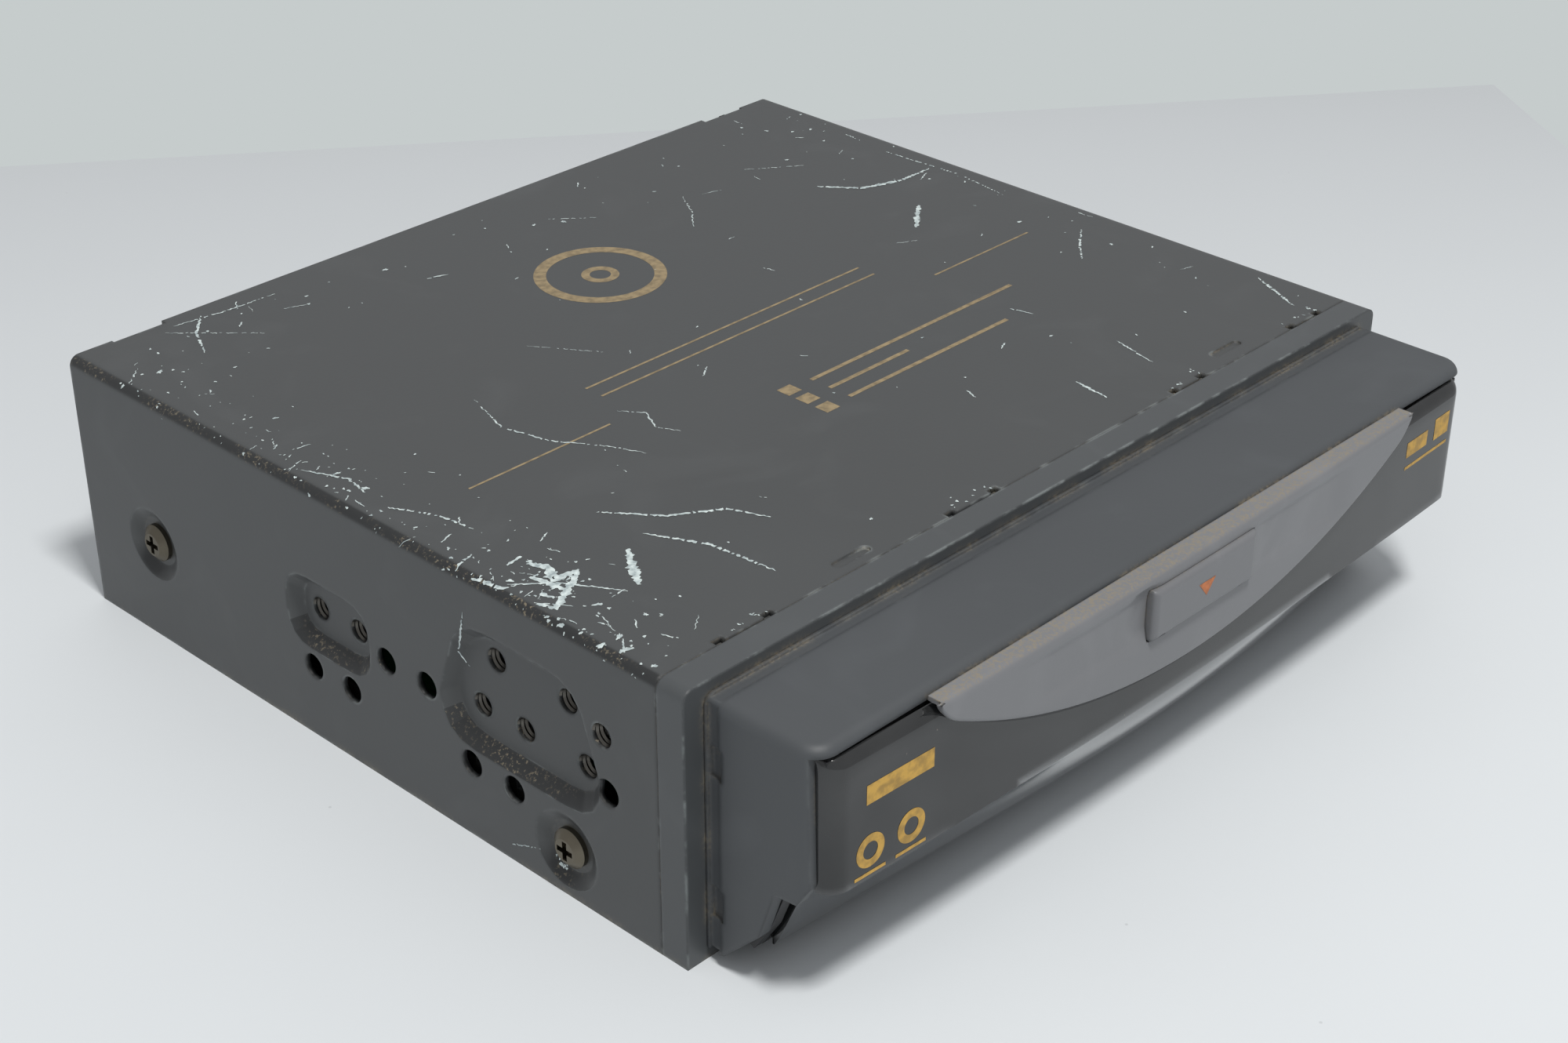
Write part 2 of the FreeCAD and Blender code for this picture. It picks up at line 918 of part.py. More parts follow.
def tapped_holes():
    """Centres of the tapped holes of a side."""
    rows = ((range(1, 6), d.tap_row_low), (range(6, 8), d.tap_row_high))
    return [(depth(size(f"tap_{i}_y")), level) for numbers, level in rows for i in numbers]


def plain_holes():
    """Centres of the plain holes of a side: pairs at two levels and a lone one near the front."""
    levels = (d.hole_row_low, d.hole_row_low, d.hole_row_high)
    pairs = [(depth(d.hole_first_y + d.hole_pitch * i), levels[min(i, 5 - i)]) for i in range(6)]
    return pairs + [(depth(d.lone_hole_y), d.hole_row_high)]


FLUSH_TAP = (depth(d.flush_tap_y), d.flush_tap_z)


DIMPLES = (
    (depth(d.front_dimple_y), d.front_dimple_z),
    (depth(d.rear_dimple_y), d.rear_dimple_z),
)


def across_wall(side, outer, inner):
    """Low and high X between two distances inwards from a side's outer face."""
    return pair(side, HALF - inner, HALF - outer)


def make_upper_casing():
    case = body("casing_shell")
    front = depth(d.collar_depth + d.seat_gap)
    rear = depth(d.case_depth)
    top = d.case_height
    under = top - d.sheet
    arch = [(-HALF, 0), (-HALF, top), (HALF, top), (HALF, 0), (INNER, 0), (INNER, under), (-INNER, under),
            (-INNER, 0)]
    pad(case, "XZ", [arch], front, rear)
    round_edges(case, d.bend, runs_along("Y", [(-HALF, top), (HALF, top)]))
    round_edges(case, d.bend - d.sheet, runs_along("Y", [(-INNER, under), (INNER, under)]))

    notches = []
    for i in range(1, 5):
        middle, half = size(f"hook_{i}_x"), size(f"hook_{i}_half")
        for sign in SIDES:
            centre = middle + half * sign
            notches.append(rectangle((centre - d.notch_width / 2, centre + d.notch_width / 2),
                                     (front, front + d.notch_depth)))
        inside = half - d.notch_width / 2
        notches.append(rectangle((middle - inside, middle + inside), (front, front + d.slit_depth)))
    for outline in notches:
        pocket(case, "XY", [outline], under, top)

    reach = d.oval_length / 2 - d.oval_radius
    ovals = [Slot(size(f"oval_{i}_x") - reach, size(f"oval_{i}_x") + reach, depth(size(f"oval_{i}_y")),
                  d.oval_radius)
             for i in (1, 2)]
    pocket(case, "XY", ovals, top - d.oval_press, top)

    for side in SIDES:
        corner = rectangle(pair(side, d.tab_inner_x, HALF), (rear - d.tab_setback, rear))
        pocket(case, "XY", [corner], as_size(0), top)
        gap = rectangle(pair(side, d.flap_inner_x, d.tab_inner_x), (rear - d.flap_setback, rear))
        pocket(case, "XY", [gap], under, top)

    for side in SIDES:
        for outline, centre, halves in side_recesses():
            factors = [1 - d.recess_slope / half for half in halves]
            floor = shrunk(outline, centre, factors)
            wall = HALF * side
            inwards = -side
            loft(case, "Additive", "YZ", [(wall + d.sheet * inwards, outline),
                                          (wall + (d.recess_depth + d.sheet) * inwards, floor)])
            loft(case, "Subtractive", "YZ", [(wall, outline), (wall + d.recess_depth * inwards, floor)])
        for pressed, centres in ((d.recess_depth, tapped_holes()), (as_size(0), [FLUSH_TAP])):
            low, high = across_wall(side, pressed + d.sheet / 2, pressed + d.sheet + d.burr_length)
            pad(case, "YZ", [Circle(y, z, d.burr_radius) for y, z in centres], low, high)
        low, high = across_wall(side, 0, d.recess_depth + d.sheet + d.burr_length)
        holes = [Circle(y, z, d.tap_radius) for y, z in tapped_holes() + [FLUSH_TAP]]
        holes += [Circle(y, z, d.hole_radius) for y, z in plain_holes()]
        pocket(case, "YZ", holes, low, high)

    bumps = []
    bites = []
    for side in SIDES:
        for centre in DIMPLES:
            wide = d.dimple_radius
            narrow = d.dimple_floor_radius
            floor = d.dimple_depth
            low, high = across_wall(side, d.sheet, floor + d.sheet)
            ends = (wide, narrow + d.sheet / 2) if side < 0 else (narrow + d.sheet / 2, wide)
            bumps.append(cone("dimple_bump", "X", centre, low, ends[0], high, ends[1]))
            low, high = across_wall(side, 0, floor)
            ends = (wide, narrow) if side < 0 else (narrow, wide)
            bites.append(cone("dimple", "X", centre, low, ends[0], high, ends[1]))
            low, high = across_wall(side, 0, floor + d.sheet * 2)
            bites.append(rod("dimple_hole", "X", centre, d.side_screw_radius + d.seat_gap, low, high))
    node("upper_casing", cut("upper_casing", fuse("casing_with_dimples", [case] + bumps), bites))


def cross_recess(axis, across, seat, tip, width, reach):
    """Two crossed bars that cut the drive of a screw head, between two places along its axis."""
    u, v = across
    long = (u - reach, u + reach), (v - width / 2, v + width / 2)
    tall = (u - width / 2, u + width / 2), (v - reach, v + reach)
    bars = []
    for first, second in (long, tall):
        spans = {"X": ((seat, tip), first, second), "Y": (first, (seat, tip), second),
                 "Z": (first, second, (seat, tip))}
        bars.append(box("drive", *spans[axis]))
    return bars


def screw(axis, across, seat, direction, head_radius, head, shank_radius, length):
    """A pan head screw. The direction is the sign of the way that the head looks along the axis."""
    tip = seat + head * direction
    shoulder = seat + head * 0.45 * direction
    end = seat - length * direction
    ends = sorted((seat, shoulder), key=lambda item: item.value)
    neck = sorted((end, seat), key=lambda item: item.value)
    crown = sorted((shoulder, tip), key=lambda item: item.value)
    drive = sorted((seat + head * 0.4 * direction, tip), key=lambda item: item.value)
    radii = (head_radius, head_radius * 0.62) if direction > 0 else (head_radius * 0.62, head_radius)
    blank = fuse("screw_blank", [
        rod("screw_head", axis, across, head_radius, *ends),
        cone("screw_crown", axis, across, crown[0], radii[0], crown[1], radii[1]),
        rod("screw_shank", axis, across, shank_radius, *neck),
    ])
    return cut("screw", blank,
               cross_recess(axis, across, drive[0], drive[1], head_radius * 0.28, head_radius * 0.5))


def make_side_screws():
    screws = []
    for side in SIDES:
        for centre in DIMPLES:
            seat = (HALF - d.dimple_depth) * side
            screws.append(screw("X", centre, seat, side, d.side_screw_head_radius, d.side_screw_head,
                                d.side_screw_radius, d.side_screw_length))
    node("side_screws", group("side_screws", screws))


FLANGE_OUT = HALF - d.dimple_depth - d.sheet - d.seat_gap
FLANGE_IN = FLANGE_OUT - d.sheet
TRAY_FRONT = depth(d.collar_depth + d.seat_gap)
PANEL_REAR = depth(d.case_depth - d.panel_inset)
PANEL_FRONT = PANEL_REAR - d.panel_sheet
BOARD_TOP = d.board_low + d.board
EAR_PLACES = [depth(d.deck_ear_front_y), depth(d.deck_ear_rear_y)]
POST_X = FLANGE_IN - d.post_inset
POSTS = [(POST_X * side, depth(y)) for side in SIDES for y in (d.post_front_y, d.post_rear_y)]
SHELF_REACH = FLANGE_IN - d.deck_half - d.part_gap


def make_lower_casing():
    tray = body("tray")
    rear = PANEL_FRONT - d.seat_gap
    high = d.flange_height
    trough = [(-FLANGE_OUT, 0), (FLANGE_OUT, 0), (FLANGE_OUT, high), (FLANGE_IN, high),
              (FLANGE_IN, d.sheet), (-FLANGE_IN, d.sheet), (-FLANGE_IN, high), (-FLANGE_OUT, high)]
    pad(tray, "XZ", [trough], TRAY_FRONT, rear)
    tail = rectangle((-FLANGE_IN + d.part_gap, FLANGE_IN - d.part_gap), (0, d.rear_flange_height))
    pad(tray, "XZ", [tail], rear - d.sheet, rear)
    middle = depth(d.rear_dimple_y)
    shelf = d.deck_low - d.seat_gap
    for side in SIDES:
        wall = pair(side, FLANGE_IN, FLANGE_OUT)
        tab = rectangle((middle - d.rear_tab_half, middle + d.rear_tab_half),
                        (high - d.sheet, d.rear_tab_height))
        ears = [rectangle((y - d.deck_ear_half, y + d.deck_ear_half), (high - d.sheet, shelf))
                for y in EAR_PLACES]
        pad(tray, "YZ", [tab] + ears, *wall)
        lips = [rectangle((y - d.deck_ear_half, y + d.deck_ear_half), (shelf - d.sheet, shelf))
                for y in EAR_PLACES]
        pad(tray, "YZ", lips, *pair(side, FLANGE_IN - SHELF_REACH, FLANGE_IN))
        pocket(tray, "YZ", [Circle(y, z, d.side_screw_radius + d.shaft_gap) for y, z in DIMPLES], *wall)
    pad(tray, "XY", [Circle(x, y, d.post_radius) for x, y in POSTS], d.sheet / 2, d.board_low - d.seat_gap)
    pocket(tray, "XY", [Circle(x, y, d.small_screw_radius + d.shaft_gap) for x, y in POSTS], 0, d.board_low)
    centre = depth(d.vent_y)
    reach = d.vent_length / 2
    vents = [Slot(-reach + x * d.vent_length * 2, reach + x * d.vent_length * 2,
                  centre + d.vent_pitch * row, d.vent_radius)
             for x in SIDES for row in range(-1, 3)]
    pocket(tray, "XY", vents, 0, d.sheet)
    screw_holes = [Circle(x, y, d.small_screw_radius + d.shaft_gap) for x, y in ear_screws()]
    pocket(tray, "XY", screw_holes, shelf - d.sheet, shelf)
    feet = [Circle(REAR_SCREW_X * side, d.rear_screw_z, d.small_screw_radius + d.shaft_gap)
            for side in SIDES]
    pocket(tray, "XZ", feet, rear - d.sheet, rear)
    node("lower_casing", tray)


def ear_screws():
    """Centres of the screws that hold the mechanism on the tray's lips."""
    x = FLANGE_IN - d.deck_ear_half
    return [(x * side, y) for side in SIDES for y in EAR_PLACES]


def make_front_collar():
    collar = body("collar")
    top = d.case_height
    front = depth(0)
    rear = depth(d.collar_depth)
    pad(collar, "XZ", [rectangle((-HALF, HALF), (0, top))], front, rear)
    round_edges(collar, d.bend, runs_along("Y", [(-HALF, top), (HALF, top)]))
    side = FLANGE_IN - d.part_gap
    low = d.sheet + d.seat_gap
    high = top - d.sheet - d.seat_gap
    pad(collar, "XZ", [rectangle((-side, side), (low, high))], rear, rear + d.collar_skirt)
    inner = side - d.skirt_wall
    skirt = rectangle((-inner, inner), (low + d.skirt_wall, high - d.skirt_wall))
    pocket(collar, "XZ", [skirt], rear, rear + d.collar_skirt)
    opening = rectangle((-HALF + d.collar_opening_side, HALF - d.collar_opening_side),
                        (d.collar_opening_low, top - d.collar_opening_low))
    pocket(collar, "XZ", [opening], front, rear)
    holes = [Circle(x, z, d.small_screw_radius + d.seat_gap) for x, z in nose_screw_places()]
    pocket(collar, "XZ", holes, front, rear)
    node("front_collar", collar)


def nose_screw_places():
    return [(NOSE_SCREW_X * side, d.nose_screw_z + d.nose_screw_spread * level) for side in SIDES
            for level in SIDES]


# Rear panel


def audio_places():
    return [(d.audio_x + d.audio_pitch_x * (i - 0.5), d.audio_z + d.audio_pitch_z * (j - 0.5))
            for i in range(2) for j in range(2)]


def rear_screw_places():
    return [(REAR_SCREW_X * side, d.rear_screw_z) for side in SIDES]


CONTROL_TOP = d.control_z + d.control_half
SOCKET_FRONT = PANEL_FRONT - d.seat_gap
AUDIO_CORE = d.audio_radius - d.audio_shell
SINK_SCREWS = [(x, d.sink_high - d.sink_screw_inset)
               for x in (SINK_LEFT + d.sink_screw_inset, SINK_RIGHT - d.sink_screw_inset)]
SINK_WINDOW_X = (SINK_LEFT + d.sink_window_side, SINK_RIGHT - d.sink_window_side)
SINK_WINDOW_Z = (d.sink_low + d.sink_window_low, d.sink_high - d.sink_window_side)


def make_rear_panel():
    panel = body("rear_sheet")
    side = INNER - d.part_gap
    low = d.sheet / 10
    high = d.case_height - d.sheet - d.part_gap
    pad(panel, "XZ", [rectangle((-side, side), (low, high))], PANEL_FRONT, PANEL_REAR)
    gap = d.seat_gap
    reach = d.power_width / 2 + gap
    tall = d.power_height / 2 + gap
    holes = [Circle(d.antenna_x, d.antenna_z, d.antenna_radius + gap),
             Circle(d.control_x, d.control_z, d.control_radius + gap)]
    holes += [Circle(x, z, AUDIO_CORE + d.part_gap) for x, z in audio_places()]
    holes += [rectangle((d.power_x - reach, d.power_x + reach), (d.power_z - tall, d.power_z + tall))]
    wide = d.fuse_width / 2 + gap
    thick = d.fuse_height / 2 + gap
    holes += [rectangle((d.fuse_x - wide, d.fuse_x + wide), (d.fuse_z - thick, d.fuse_z + thick))]
    holes += [Circle(x, z, d.small_screw_radius + gap) for x, z in rear_screw_places() + SINK_SCREWS]
    holes += [Circle(d.rear_stud_x, d.rear_stud_z, d.tap_radius)]
    window = rectangle(SINK_WINDOW_X, SINK_WINDOW_Z)
    pocket(panel, "XZ", holes + [window], PANEL_FRONT, PANEL_REAR)
    nut = rod("rear_nut_blank", "Y", (d.rear_stud_x, d.rear_stud_z), d.burr_radius + 1, PANEL_FRONT - 3,
              PANEL_FRONT + 0.5)
    bore = rod("rear_nut_bore", "Y", (d.rear_stud_x, d.rear_stud_z), d.tap_radius, PANEL_FRONT - 4,
               PANEL_REAR + 1)
    node("rear_panel", cut("rear_panel", fuse("rear_sheet_with_nut", [panel, nut]), [bore]))


def make_heat_sink():
    front = PANEL_REAR + d.seat_gap
    rear = depth(REAR_REACH - d.part_gap)
    base = front + d.sink_base
    sink = body("fins")
    count = int((SINK_RIGHT.value - SINK_LEFT.value - d.fin_thickness.value) / d.fin_pitch.value) + 1
    pad(sink, "XZ", [rectangle((SINK_LEFT, SINK_RIGHT), (d.sink_low, d.sink_high))], front, base)
    pitch = (SINK_RIGHT - SINK_LEFT - d.fin_thickness) / (count - 1)
    low = d.sink_low
    high = d.sink_high
    fins = []
    for i in range(count):
        left = SINK_LEFT + pitch * i
        top = high - d.short_fin_drop if i in (1, count - 2) else high
        fins.append(rectangle((left, left + d.fin_thickness), (low, top)))
    pad(sink, "XZ", fins, base - d.sink_base / 2, rear)
    gap = d.sink_boss_gap
    boss = rectangle((SINK_WINDOW_X[0] + gap, SINK_WINDOW_X[1] - gap),
                     (SINK_WINDOW_Z[0] + gap, SINK_WINDOW_Z[1] - gap))
    pad(sink, "XZ", [boss], PANEL_FRONT - d.part_gap, front + d.sink_base / 2)
    pocket(sink, "XZ", [Circle(x, z, d.small_screw_radius + d.shaft_gap) for x, z in SINK_SCREWS], front,
           base)
    node("heat_sink", sink)


def amplifiers():
    """The two chips that sit against the heat sink's boss."""
    rear = PANEL_FRONT - d.part_gap - d.seat_gap
    left = SINK_WINDOW_X[0] + d.amplifier_gap
    chips = []
    for i in range(2):
        x = left + (d.amplifier_width + d.amplifier_gap) * i
        chips.append(box("amplifier", (x, x + d.amplifier_width), (rear - d.amplifier_depth, rear),
                         (BOARD_TOP + d.seat_gap, d.sink_low + d.amplifier_top)))
    return chips


def small_screw(axis, across, seat, head_radius, length):
    return screw(axis, across, seat, 1, head_radius, d.small_head, d.small_screw_radius, length)


def make_small_screws():
    """The small screws of the rear panel, the heat sink, the board, the deck and the nose."""
    wide = d.small_head_radius
    length = d.small_screw_length
    rear = [small_screw("Y", spot, PANEL_REAR, wide, length) for spot in rear_screw_places()]
    rear += [small_screw("Y", spot, PANEL_REAR + d.seat_gap + d.sink_base, wide, length)
             for spot in SINK_SCREWS]
    node("rear_screws", group("rear_screws", rear))
    inner = [small_screw("Z", spot, BOARD_TOP, wide, length) for spot in POSTS]
    inner += [small_screw("Z", spot, d.deck_low + d.sheet, wide, length - 1.5) for spot in ear_screws()]
    reach = d.collar_depth + d.nose_frame - 1
    inner += [small_screw("Y", spot, depth(d.collar_depth), d.nose_screw_head, reach)
              for spot in nose_screw_places()]
    node("inner_screws", group("inner_screws", inner))


def make_antenna_socket():
    centre = (d.antenna_x, d.antenna_z)
    rear = depth(REAR_REACH)
    block = box("antenna_block", (d.antenna_x - d.antenna_flange / 2, d.antenna_x + d.antenna_flange / 2),
                (SOCKET_FRONT - d.antenna_block_depth, SOCKET_FRONT),
                (CONTROL_TOP + d.seat_gap, d.antenna_z + d.antenna_flange / 2))
    barrel = rod("antenna_barrel", "Y", centre, d.antenna_radius, PANEL_FRONT - 1, rear)
    bore = rod("antenna_bore", "Y", centre, d.antenna_bore, rear - d.antenna_bore_depth, rear + 1)
    node("antenna_socket", cut("antenna_socket", fuse("antenna_blank", [block, barrel]), [bore]))


def make_control_socket():
    centre = (d.control_x, d.control_z)
    rear = PANEL_REAR + d.control_proud
    block = box("control_block", (d.control_x - d.control_half, d.control_x + d.control_half),
                (SOCKET_FRONT - d.control_block_depth, SOCKET_FRONT), (BOARD_TOP + d.seat_gap, CONTROL_TOP))
    barrel = rod("control_barrel", "Y", centre, d.control_radius, PANEL_FRONT - 1, rear)
    floor = rear - d.control_bore_depth
    bore = rod("control_bore", "Y", centre, d.control_bore, floor, rear + 1)
    half = d.control_key_half
    key = box("control_key", (d.control_x - half, d.control_x + half), (floor - 0.5, floor + 2),
              (d.control_z - half, d.control_z + half))
    hollow = cut("control_shell", fuse("control_blank", [block, barrel]), [bore])
    node("control_socket", fuse("control_socket", [hollow, key]))


def make_audio_sockets():
    low = BOARD_TOP + d.seat_gap
    reach = d.audio_pitch_x
    rear = depth(REAR_REACH)
    block = box("audio_body", (d.audio_x - reach, d.audio_x + reach),
                (SOCKET_FRONT - d.audio_block_depth, SOCKET_FRONT),
                (low, d.audio_z + d.audio_pitch_z))
    cores = [rod("audio_core", "Y", centre, AUDIO_CORE, PANEL_FRONT - 1, rear - 1)
             for centre in audio_places()]
    bores = [rod("audio_bore", "Y", centre, d.audio_bore, PANEL_FRONT - 4, rear)
             for centre in audio_places()]
    node("audio_block", cut("audio_socket_block", fuse("audio_blank", [block] + cores), bores))
    shells = []
    for centre in audio_places():
        tube = rod("audio_tube", "Y", centre, d.audio_radius, PANEL_REAR + d.seat_gap, rear)
        hole = rod("audio_tube_bore", "Y", centre, AUDIO_CORE + d.shaft_gap, PANEL_REAR, rear + 1)
        shells.append(cut("audio_shell", tube, [hole]))
    node("audio_shells", group("audio_shells", shells))


def make_power_connector():
    x = (d.power_x - d.power_width / 2, d.power_x + d.power_width / 2)
    z = (d.power_z - d.power_height / 2, d.power_z + d.power_height / 2)
    rear = PANEL_REAR + 1
    front = rear - d.power_depth
    housing = box("power_housing", x, (front, rear), z)
    wall = d.power_wall
    hollow = box("power_hollow", (x[0] + wall, x[1] - wall), (front + wall + 1, rear + 1),
                 (z[0] + wall, z[1] - wall))
    foot = box("power_foot", x, (front, PANEL_FRONT - d.seat_gap), (BOARD_TOP + d.seat_gap, z[0] + wall))
    slots = []
    pins = []
    low = -(d.pin_size / 2)
    for column in range(8):
        for row_number in (-1, 1):
            u = d.power_x + d.pin_pitch * (column - 3.5)
            v = d.power_z + d.pin_pitch * row_number * 0.7
            slots.append(box("pin_hole", (u + low - d.shaft_gap, u - low + d.shaft_gap),
                             (front - 1, front + wall + 2),
                             (v + low - d.shaft_gap, v - low + d.shaft_gap)))
            pins.append(box("pin", (u + low, u - low), (front - 1, rear - 4), (v + low, v - low)))
    node("power_connector", cut("power_connector", fuse("power_blank", [housing, foot]), [hollow] + slots))
    node("power_pins", group("power_pins", pins))


def make_blade_fuse():
    rear = PANEL_REAR + 5
    x = (d.fuse_x - d.fuse_width / 2, d.fuse_x + d.fuse_width / 2)
    z = (d.fuse_z - d.fuse_height / 2, d.fuse_z + d.fuse_height / 2)
    block = box("fuse_block", x, (PANEL_FRONT - 8, rear), z)
    step = box("fuse_step", (x[0] - 1, x[1] + 1), (rear - 1.5, rear + 1), (z[0] - 1, z[0] + 1))
    flange = box("fuse_flange", (x[0] - 2, x[1] + 2), (PANEL_FRONT - 2, PANEL_FRONT - d.seat_gap),
                 (z[0] - 2, z[1] + 2))
    holder = cut("fuse_shape", block, [step])
    node("blade_fuse", fuse("blade_fuse", [holder, flange]))


# Main board


def make_main_board():
    side = FLANGE_IN - d.board_side_gap
    board = body("green_board")
    y = (depth(d.board_front_y), depth(d.board_rear_y))
    pad(board, "XY", [rectangle((-side, side), y)], d.board_low, BOARD_TOP)
    holes = [Circle(x, yy, d.small_screw_radius + d.seat_gap) for x, yy in POSTS]
    pocket(board, "XY", holes, d.board_low, BOARD_TOP)
    node("main_board", board)


def make_board_parts():
    low = BOARD_TOP + d.seat_gap
    chips = amplifiers()
    spots = ((0, 0, 1.0, 1.0), (34, 20, 0.7, 0.7), (-28, 26, 0.8, 0.45), (42, -24, 0.5, 0.9),
             (8, -30, 0.9, 0.5))
    for dx, dy, wide, long in spots:
        x = d.chip_x + dx
        y = depth(d.chip_y + dy)
        half = d.chip_size / 2
        chips.append(box("chip", (x - half * wide, x + half * wide), (y - half * long, y + half * long),
                         (low, low + d.chip_height)))
    node("board_chips", group("board_chips", chips))
    cans = []
    for i in range(4):
        centre = (d.can_x + d.can_pitch * i + (0 if i < 2 else 1.5), depth(d.can_y))
        body_part = rod("can", "Z", centre, d.can_radius, low, low + d.can_height)
        cans.append(body_part)
    node("capacitors", group("capacitors", cans))


# Disc mechanism


PLATE_TOP = d.plate_low + d.sheet
WALL = (d.deck_half - d.sheet, d.deck_half)
DAMPER_SPOTS = [(x, y) for x in (d.plate_left_x + d.damper_inset, d.plate_right_x - d.damper_inset)
                for y in (depth(d.plate_front_y) + d.damper_inset, depth(d.plate_rear_y) - d.damper_inset)]
ROLLER = (depth(d.roller_y), d.roller_z)
IDLER_SPAN = d.module * (d.roller_teeth + d.idler_teeth) / 2
PINION_SPAN = d.module * (d.idler_teeth + d.pinion_teeth) / 2
IDLER = (ROLLER[0] + IDLER_SPAN, ROLLER[1])
TRAIN_TURN = math.radians(d.train_angle.value)
PINION = (IDLER[0] + PINION_SPAN * math.cos(TRAIN_TURN), IDLER[1] - PINION_SPAN * math.sin(TRAIN_TURN))
GEAR_X = (-(d.deck_half + d.gear_gap + d.gear_width), -(d.deck_half + d.gear_gap))
SLED_MOTOR_END = d.rod_left_x - d.rod_stand / 2 - d.seat_gap
SLED_MOTOR_X = (SLED_MOTOR_END - d.sled_motor_length, SLED_MOTOR_END)
GUIDE_LOW = d.disc_level + d.guide_clear
CLAMP_PIVOT = (depth(d.clamp_pivot_y), DECK_HIGH - d.clamp_pivot_drop)
ROLLER_SHAFT_LEFT = GEAR_X[0] - d.seat_gap


def make_mechanism_frame():
    frame = body("deck")
    low = d.deck_low
    top = low + d.sheet
    front = depth(d.deck_front_y)
    rear = depth(d.deck_rear_y)
    half = d.deck_half
    inner = half - d.sheet
    channel = [(-half, low), (half, low), (half, DECK_HIGH), (inner, DECK_HIGH), (inner, top),
               (-inner, top), (-inner, DECK_HIGH), (-half, DECK_HIGH)]
    pad(frame, "XZ", [channel], front, rear)
    lips = [rectangle(pair(side, d.servo_half - 4, inner), (DECK_HIGH - d.sheet, DECK_HIGH))
            for side in SIDES]
    pad(frame, "XZ", lips, depth(d.servo_front_y), rear)
    for side in SIDES:
        ears = [rectangle(pair(side, half, FLANGE_IN - d.part_gap),
                          (y - d.deck_ear_half, y + d.deck_ear_half)) for y in EAR_PLACES]
        pad(frame, "XY", ears, low, top)
    pocket(frame, "XY", [Circle(x, y, d.small_screw_radius + d.seat_gap) for x, y in ear_screws()], low,
           top)
    window = d.deck_window_half
    middle = depth(d.spindle_y)
    pocket(frame, "XY",
           [rectangle((-window, window),
                      (middle - d.pickup_way - d.plate_land,
                       middle + d.pickup_way + d.plate_land))], low, top)
    wall = (-half, -inner)
    bush = Circle(*ROLLER, d.bush_radius + d.seat_gap)
    pocket(frame, "YZ", [bush, Circle(*PINION, d.load_motor_radius * 0.5)], *wall)
    pocket(frame, "YZ", [bush], inner, half)
    for low_x, high_x in (wall, (inner, half)):
        pocket(frame, "YZ", [Circle(*CLAMP_PIVOT, d.clamp_shaft_radius + d.shaft_gap)], low_x, high_x)
    axle = rod("idler_axle", "X", IDLER, d.shaft_radius, GEAR_X[0] - d.overlap, -inner - d.overlap)
    node("mechanism_frame", fuse("mechanism_frame", [frame, axle]))


WIRE_SIDES = 6
STEPS_PER_TURN = 12


def spring_shape(spot, low, high, radius, wire, axis):
    """A coil spring between two places along an axis, made of short straight pieces of wire."""
    rise = high.value - low.value - 2 * wire.value
    steps = int(d.spring_turns.value) * STEPS_PER_TURN
    rings = []
    for i in range(steps + 1):
        turn = 2 * math.pi * i / STEPS_PER_TURN
        out = Vector(math.cos(turn), math.sin(turn), 0)
        centre = out * radius.value + Vector(0, 0, wire.value + rise * i / steps)
        corners = []
        for k in range(WIRE_SIDES + 1):
            angle = 2 * math.pi * k / WIRE_SIDES
            across = out * math.cos(angle) + Vector(0, 0, math.sin(angle))
            corners.append(centre + across * wire.value)
        rings.append(Part.makePolygon(corners))
    coil = Part.makeLoft(rings, True, True)
    base = on_axis(axis, [value.value for value in spot], low.value)
    coil.Placement = Placement(Vector(*base), TURNS[axis])
    return coil


def make_suspension():
    low = d.deck_low + d.sheet + d.seat_gap
    high = d.plate_low - d.seat_gap
    feet = []
    for spot in DAMPER_SPOTS:
        foot = fuse("damper_foot", [rod("damper", "Z", spot, d.damper_radius, low, high),
                                    rod("damper_neck", "Z", spot, d.damper_radius * 0.5, high - 0.5,
                                        PLATE_TOP + 0.6),
                                    rod("damper_cap", "Z", spot, d.damper_radius * 0.8,
                                        PLATE_TOP + d.seat_gap, PLATE_TOP + 1.4)])
        feet.append(foot)
    node("dampers", group("dampers", feet))
    coils = [spring_shape(spot, low, high, d.spring_radius, d.spring_wire, "Z") for spot in DAMPER_SPOTS]
    node("deck_springs", solid("deck_springs", Part.Compound(coils)))


def make_traverse_plate():
    plate = body("traverse")
    y = (depth(d.plate_front_y), depth(d.plate_rear_y))
    pad(plate, "XY", [rectangle((d.plate_left_x, d.plate_right_x), y)], d.plate_low, PLATE_TOP)
    middle = depth(d.spindle_y)
    holes = [Circle(px, py, d.damper_radius * 0.5 + d.seat_gap) for px, py in DAMPER_SPOTS]
    holes += [Circle(0, middle, d.motor_boss_radius)]
    holes += [rectangle((d.motor_radius + d.plate_land, d.plate_right_x - d.plate_land * 3),
                        (middle - d.pickup_way, middle + d.pickup_way))]
    pocket(plate, "XY", holes, d.plate_low, PLATE_TOP)
    screw_y = depth(d.screw_y)
    reach = d.sled_motor_radius + 0.5
    window = rectangle((SLED_MOTOR_X[0] - 0.5, SLED_MOTOR_X[1]), (screw_y - reach, screw_y + reach))
    pocket(plate, "XY", [window], d.plate_low, PLATE_TOP)
    stands = []
    half = d.rod_stand / 2
    for x in (d.rod_left_x, d.rod_right_x):
        for y, radius in ((depth(d.rod_front_y), d.rod_radius), (depth(d.rod_rear_y), d.rod_radius),
                          (screw_y, d.shaft_radius)):
            block = box("stand", (x - half, x + half), (y - 3, y + 3),
                        (PLATE_TOP - 0.5, d.rod_level + d.rod_radius + 1))
            hole = rod("stand_hole", "X", (y, d.rod_level), radius + d.shaft_gap, x - 2, x + 2)
            stands.append(cut("stand_cut", block, [hole]))
    node("traverse_plate", fuse("traverse_plate", [plate] + stands))


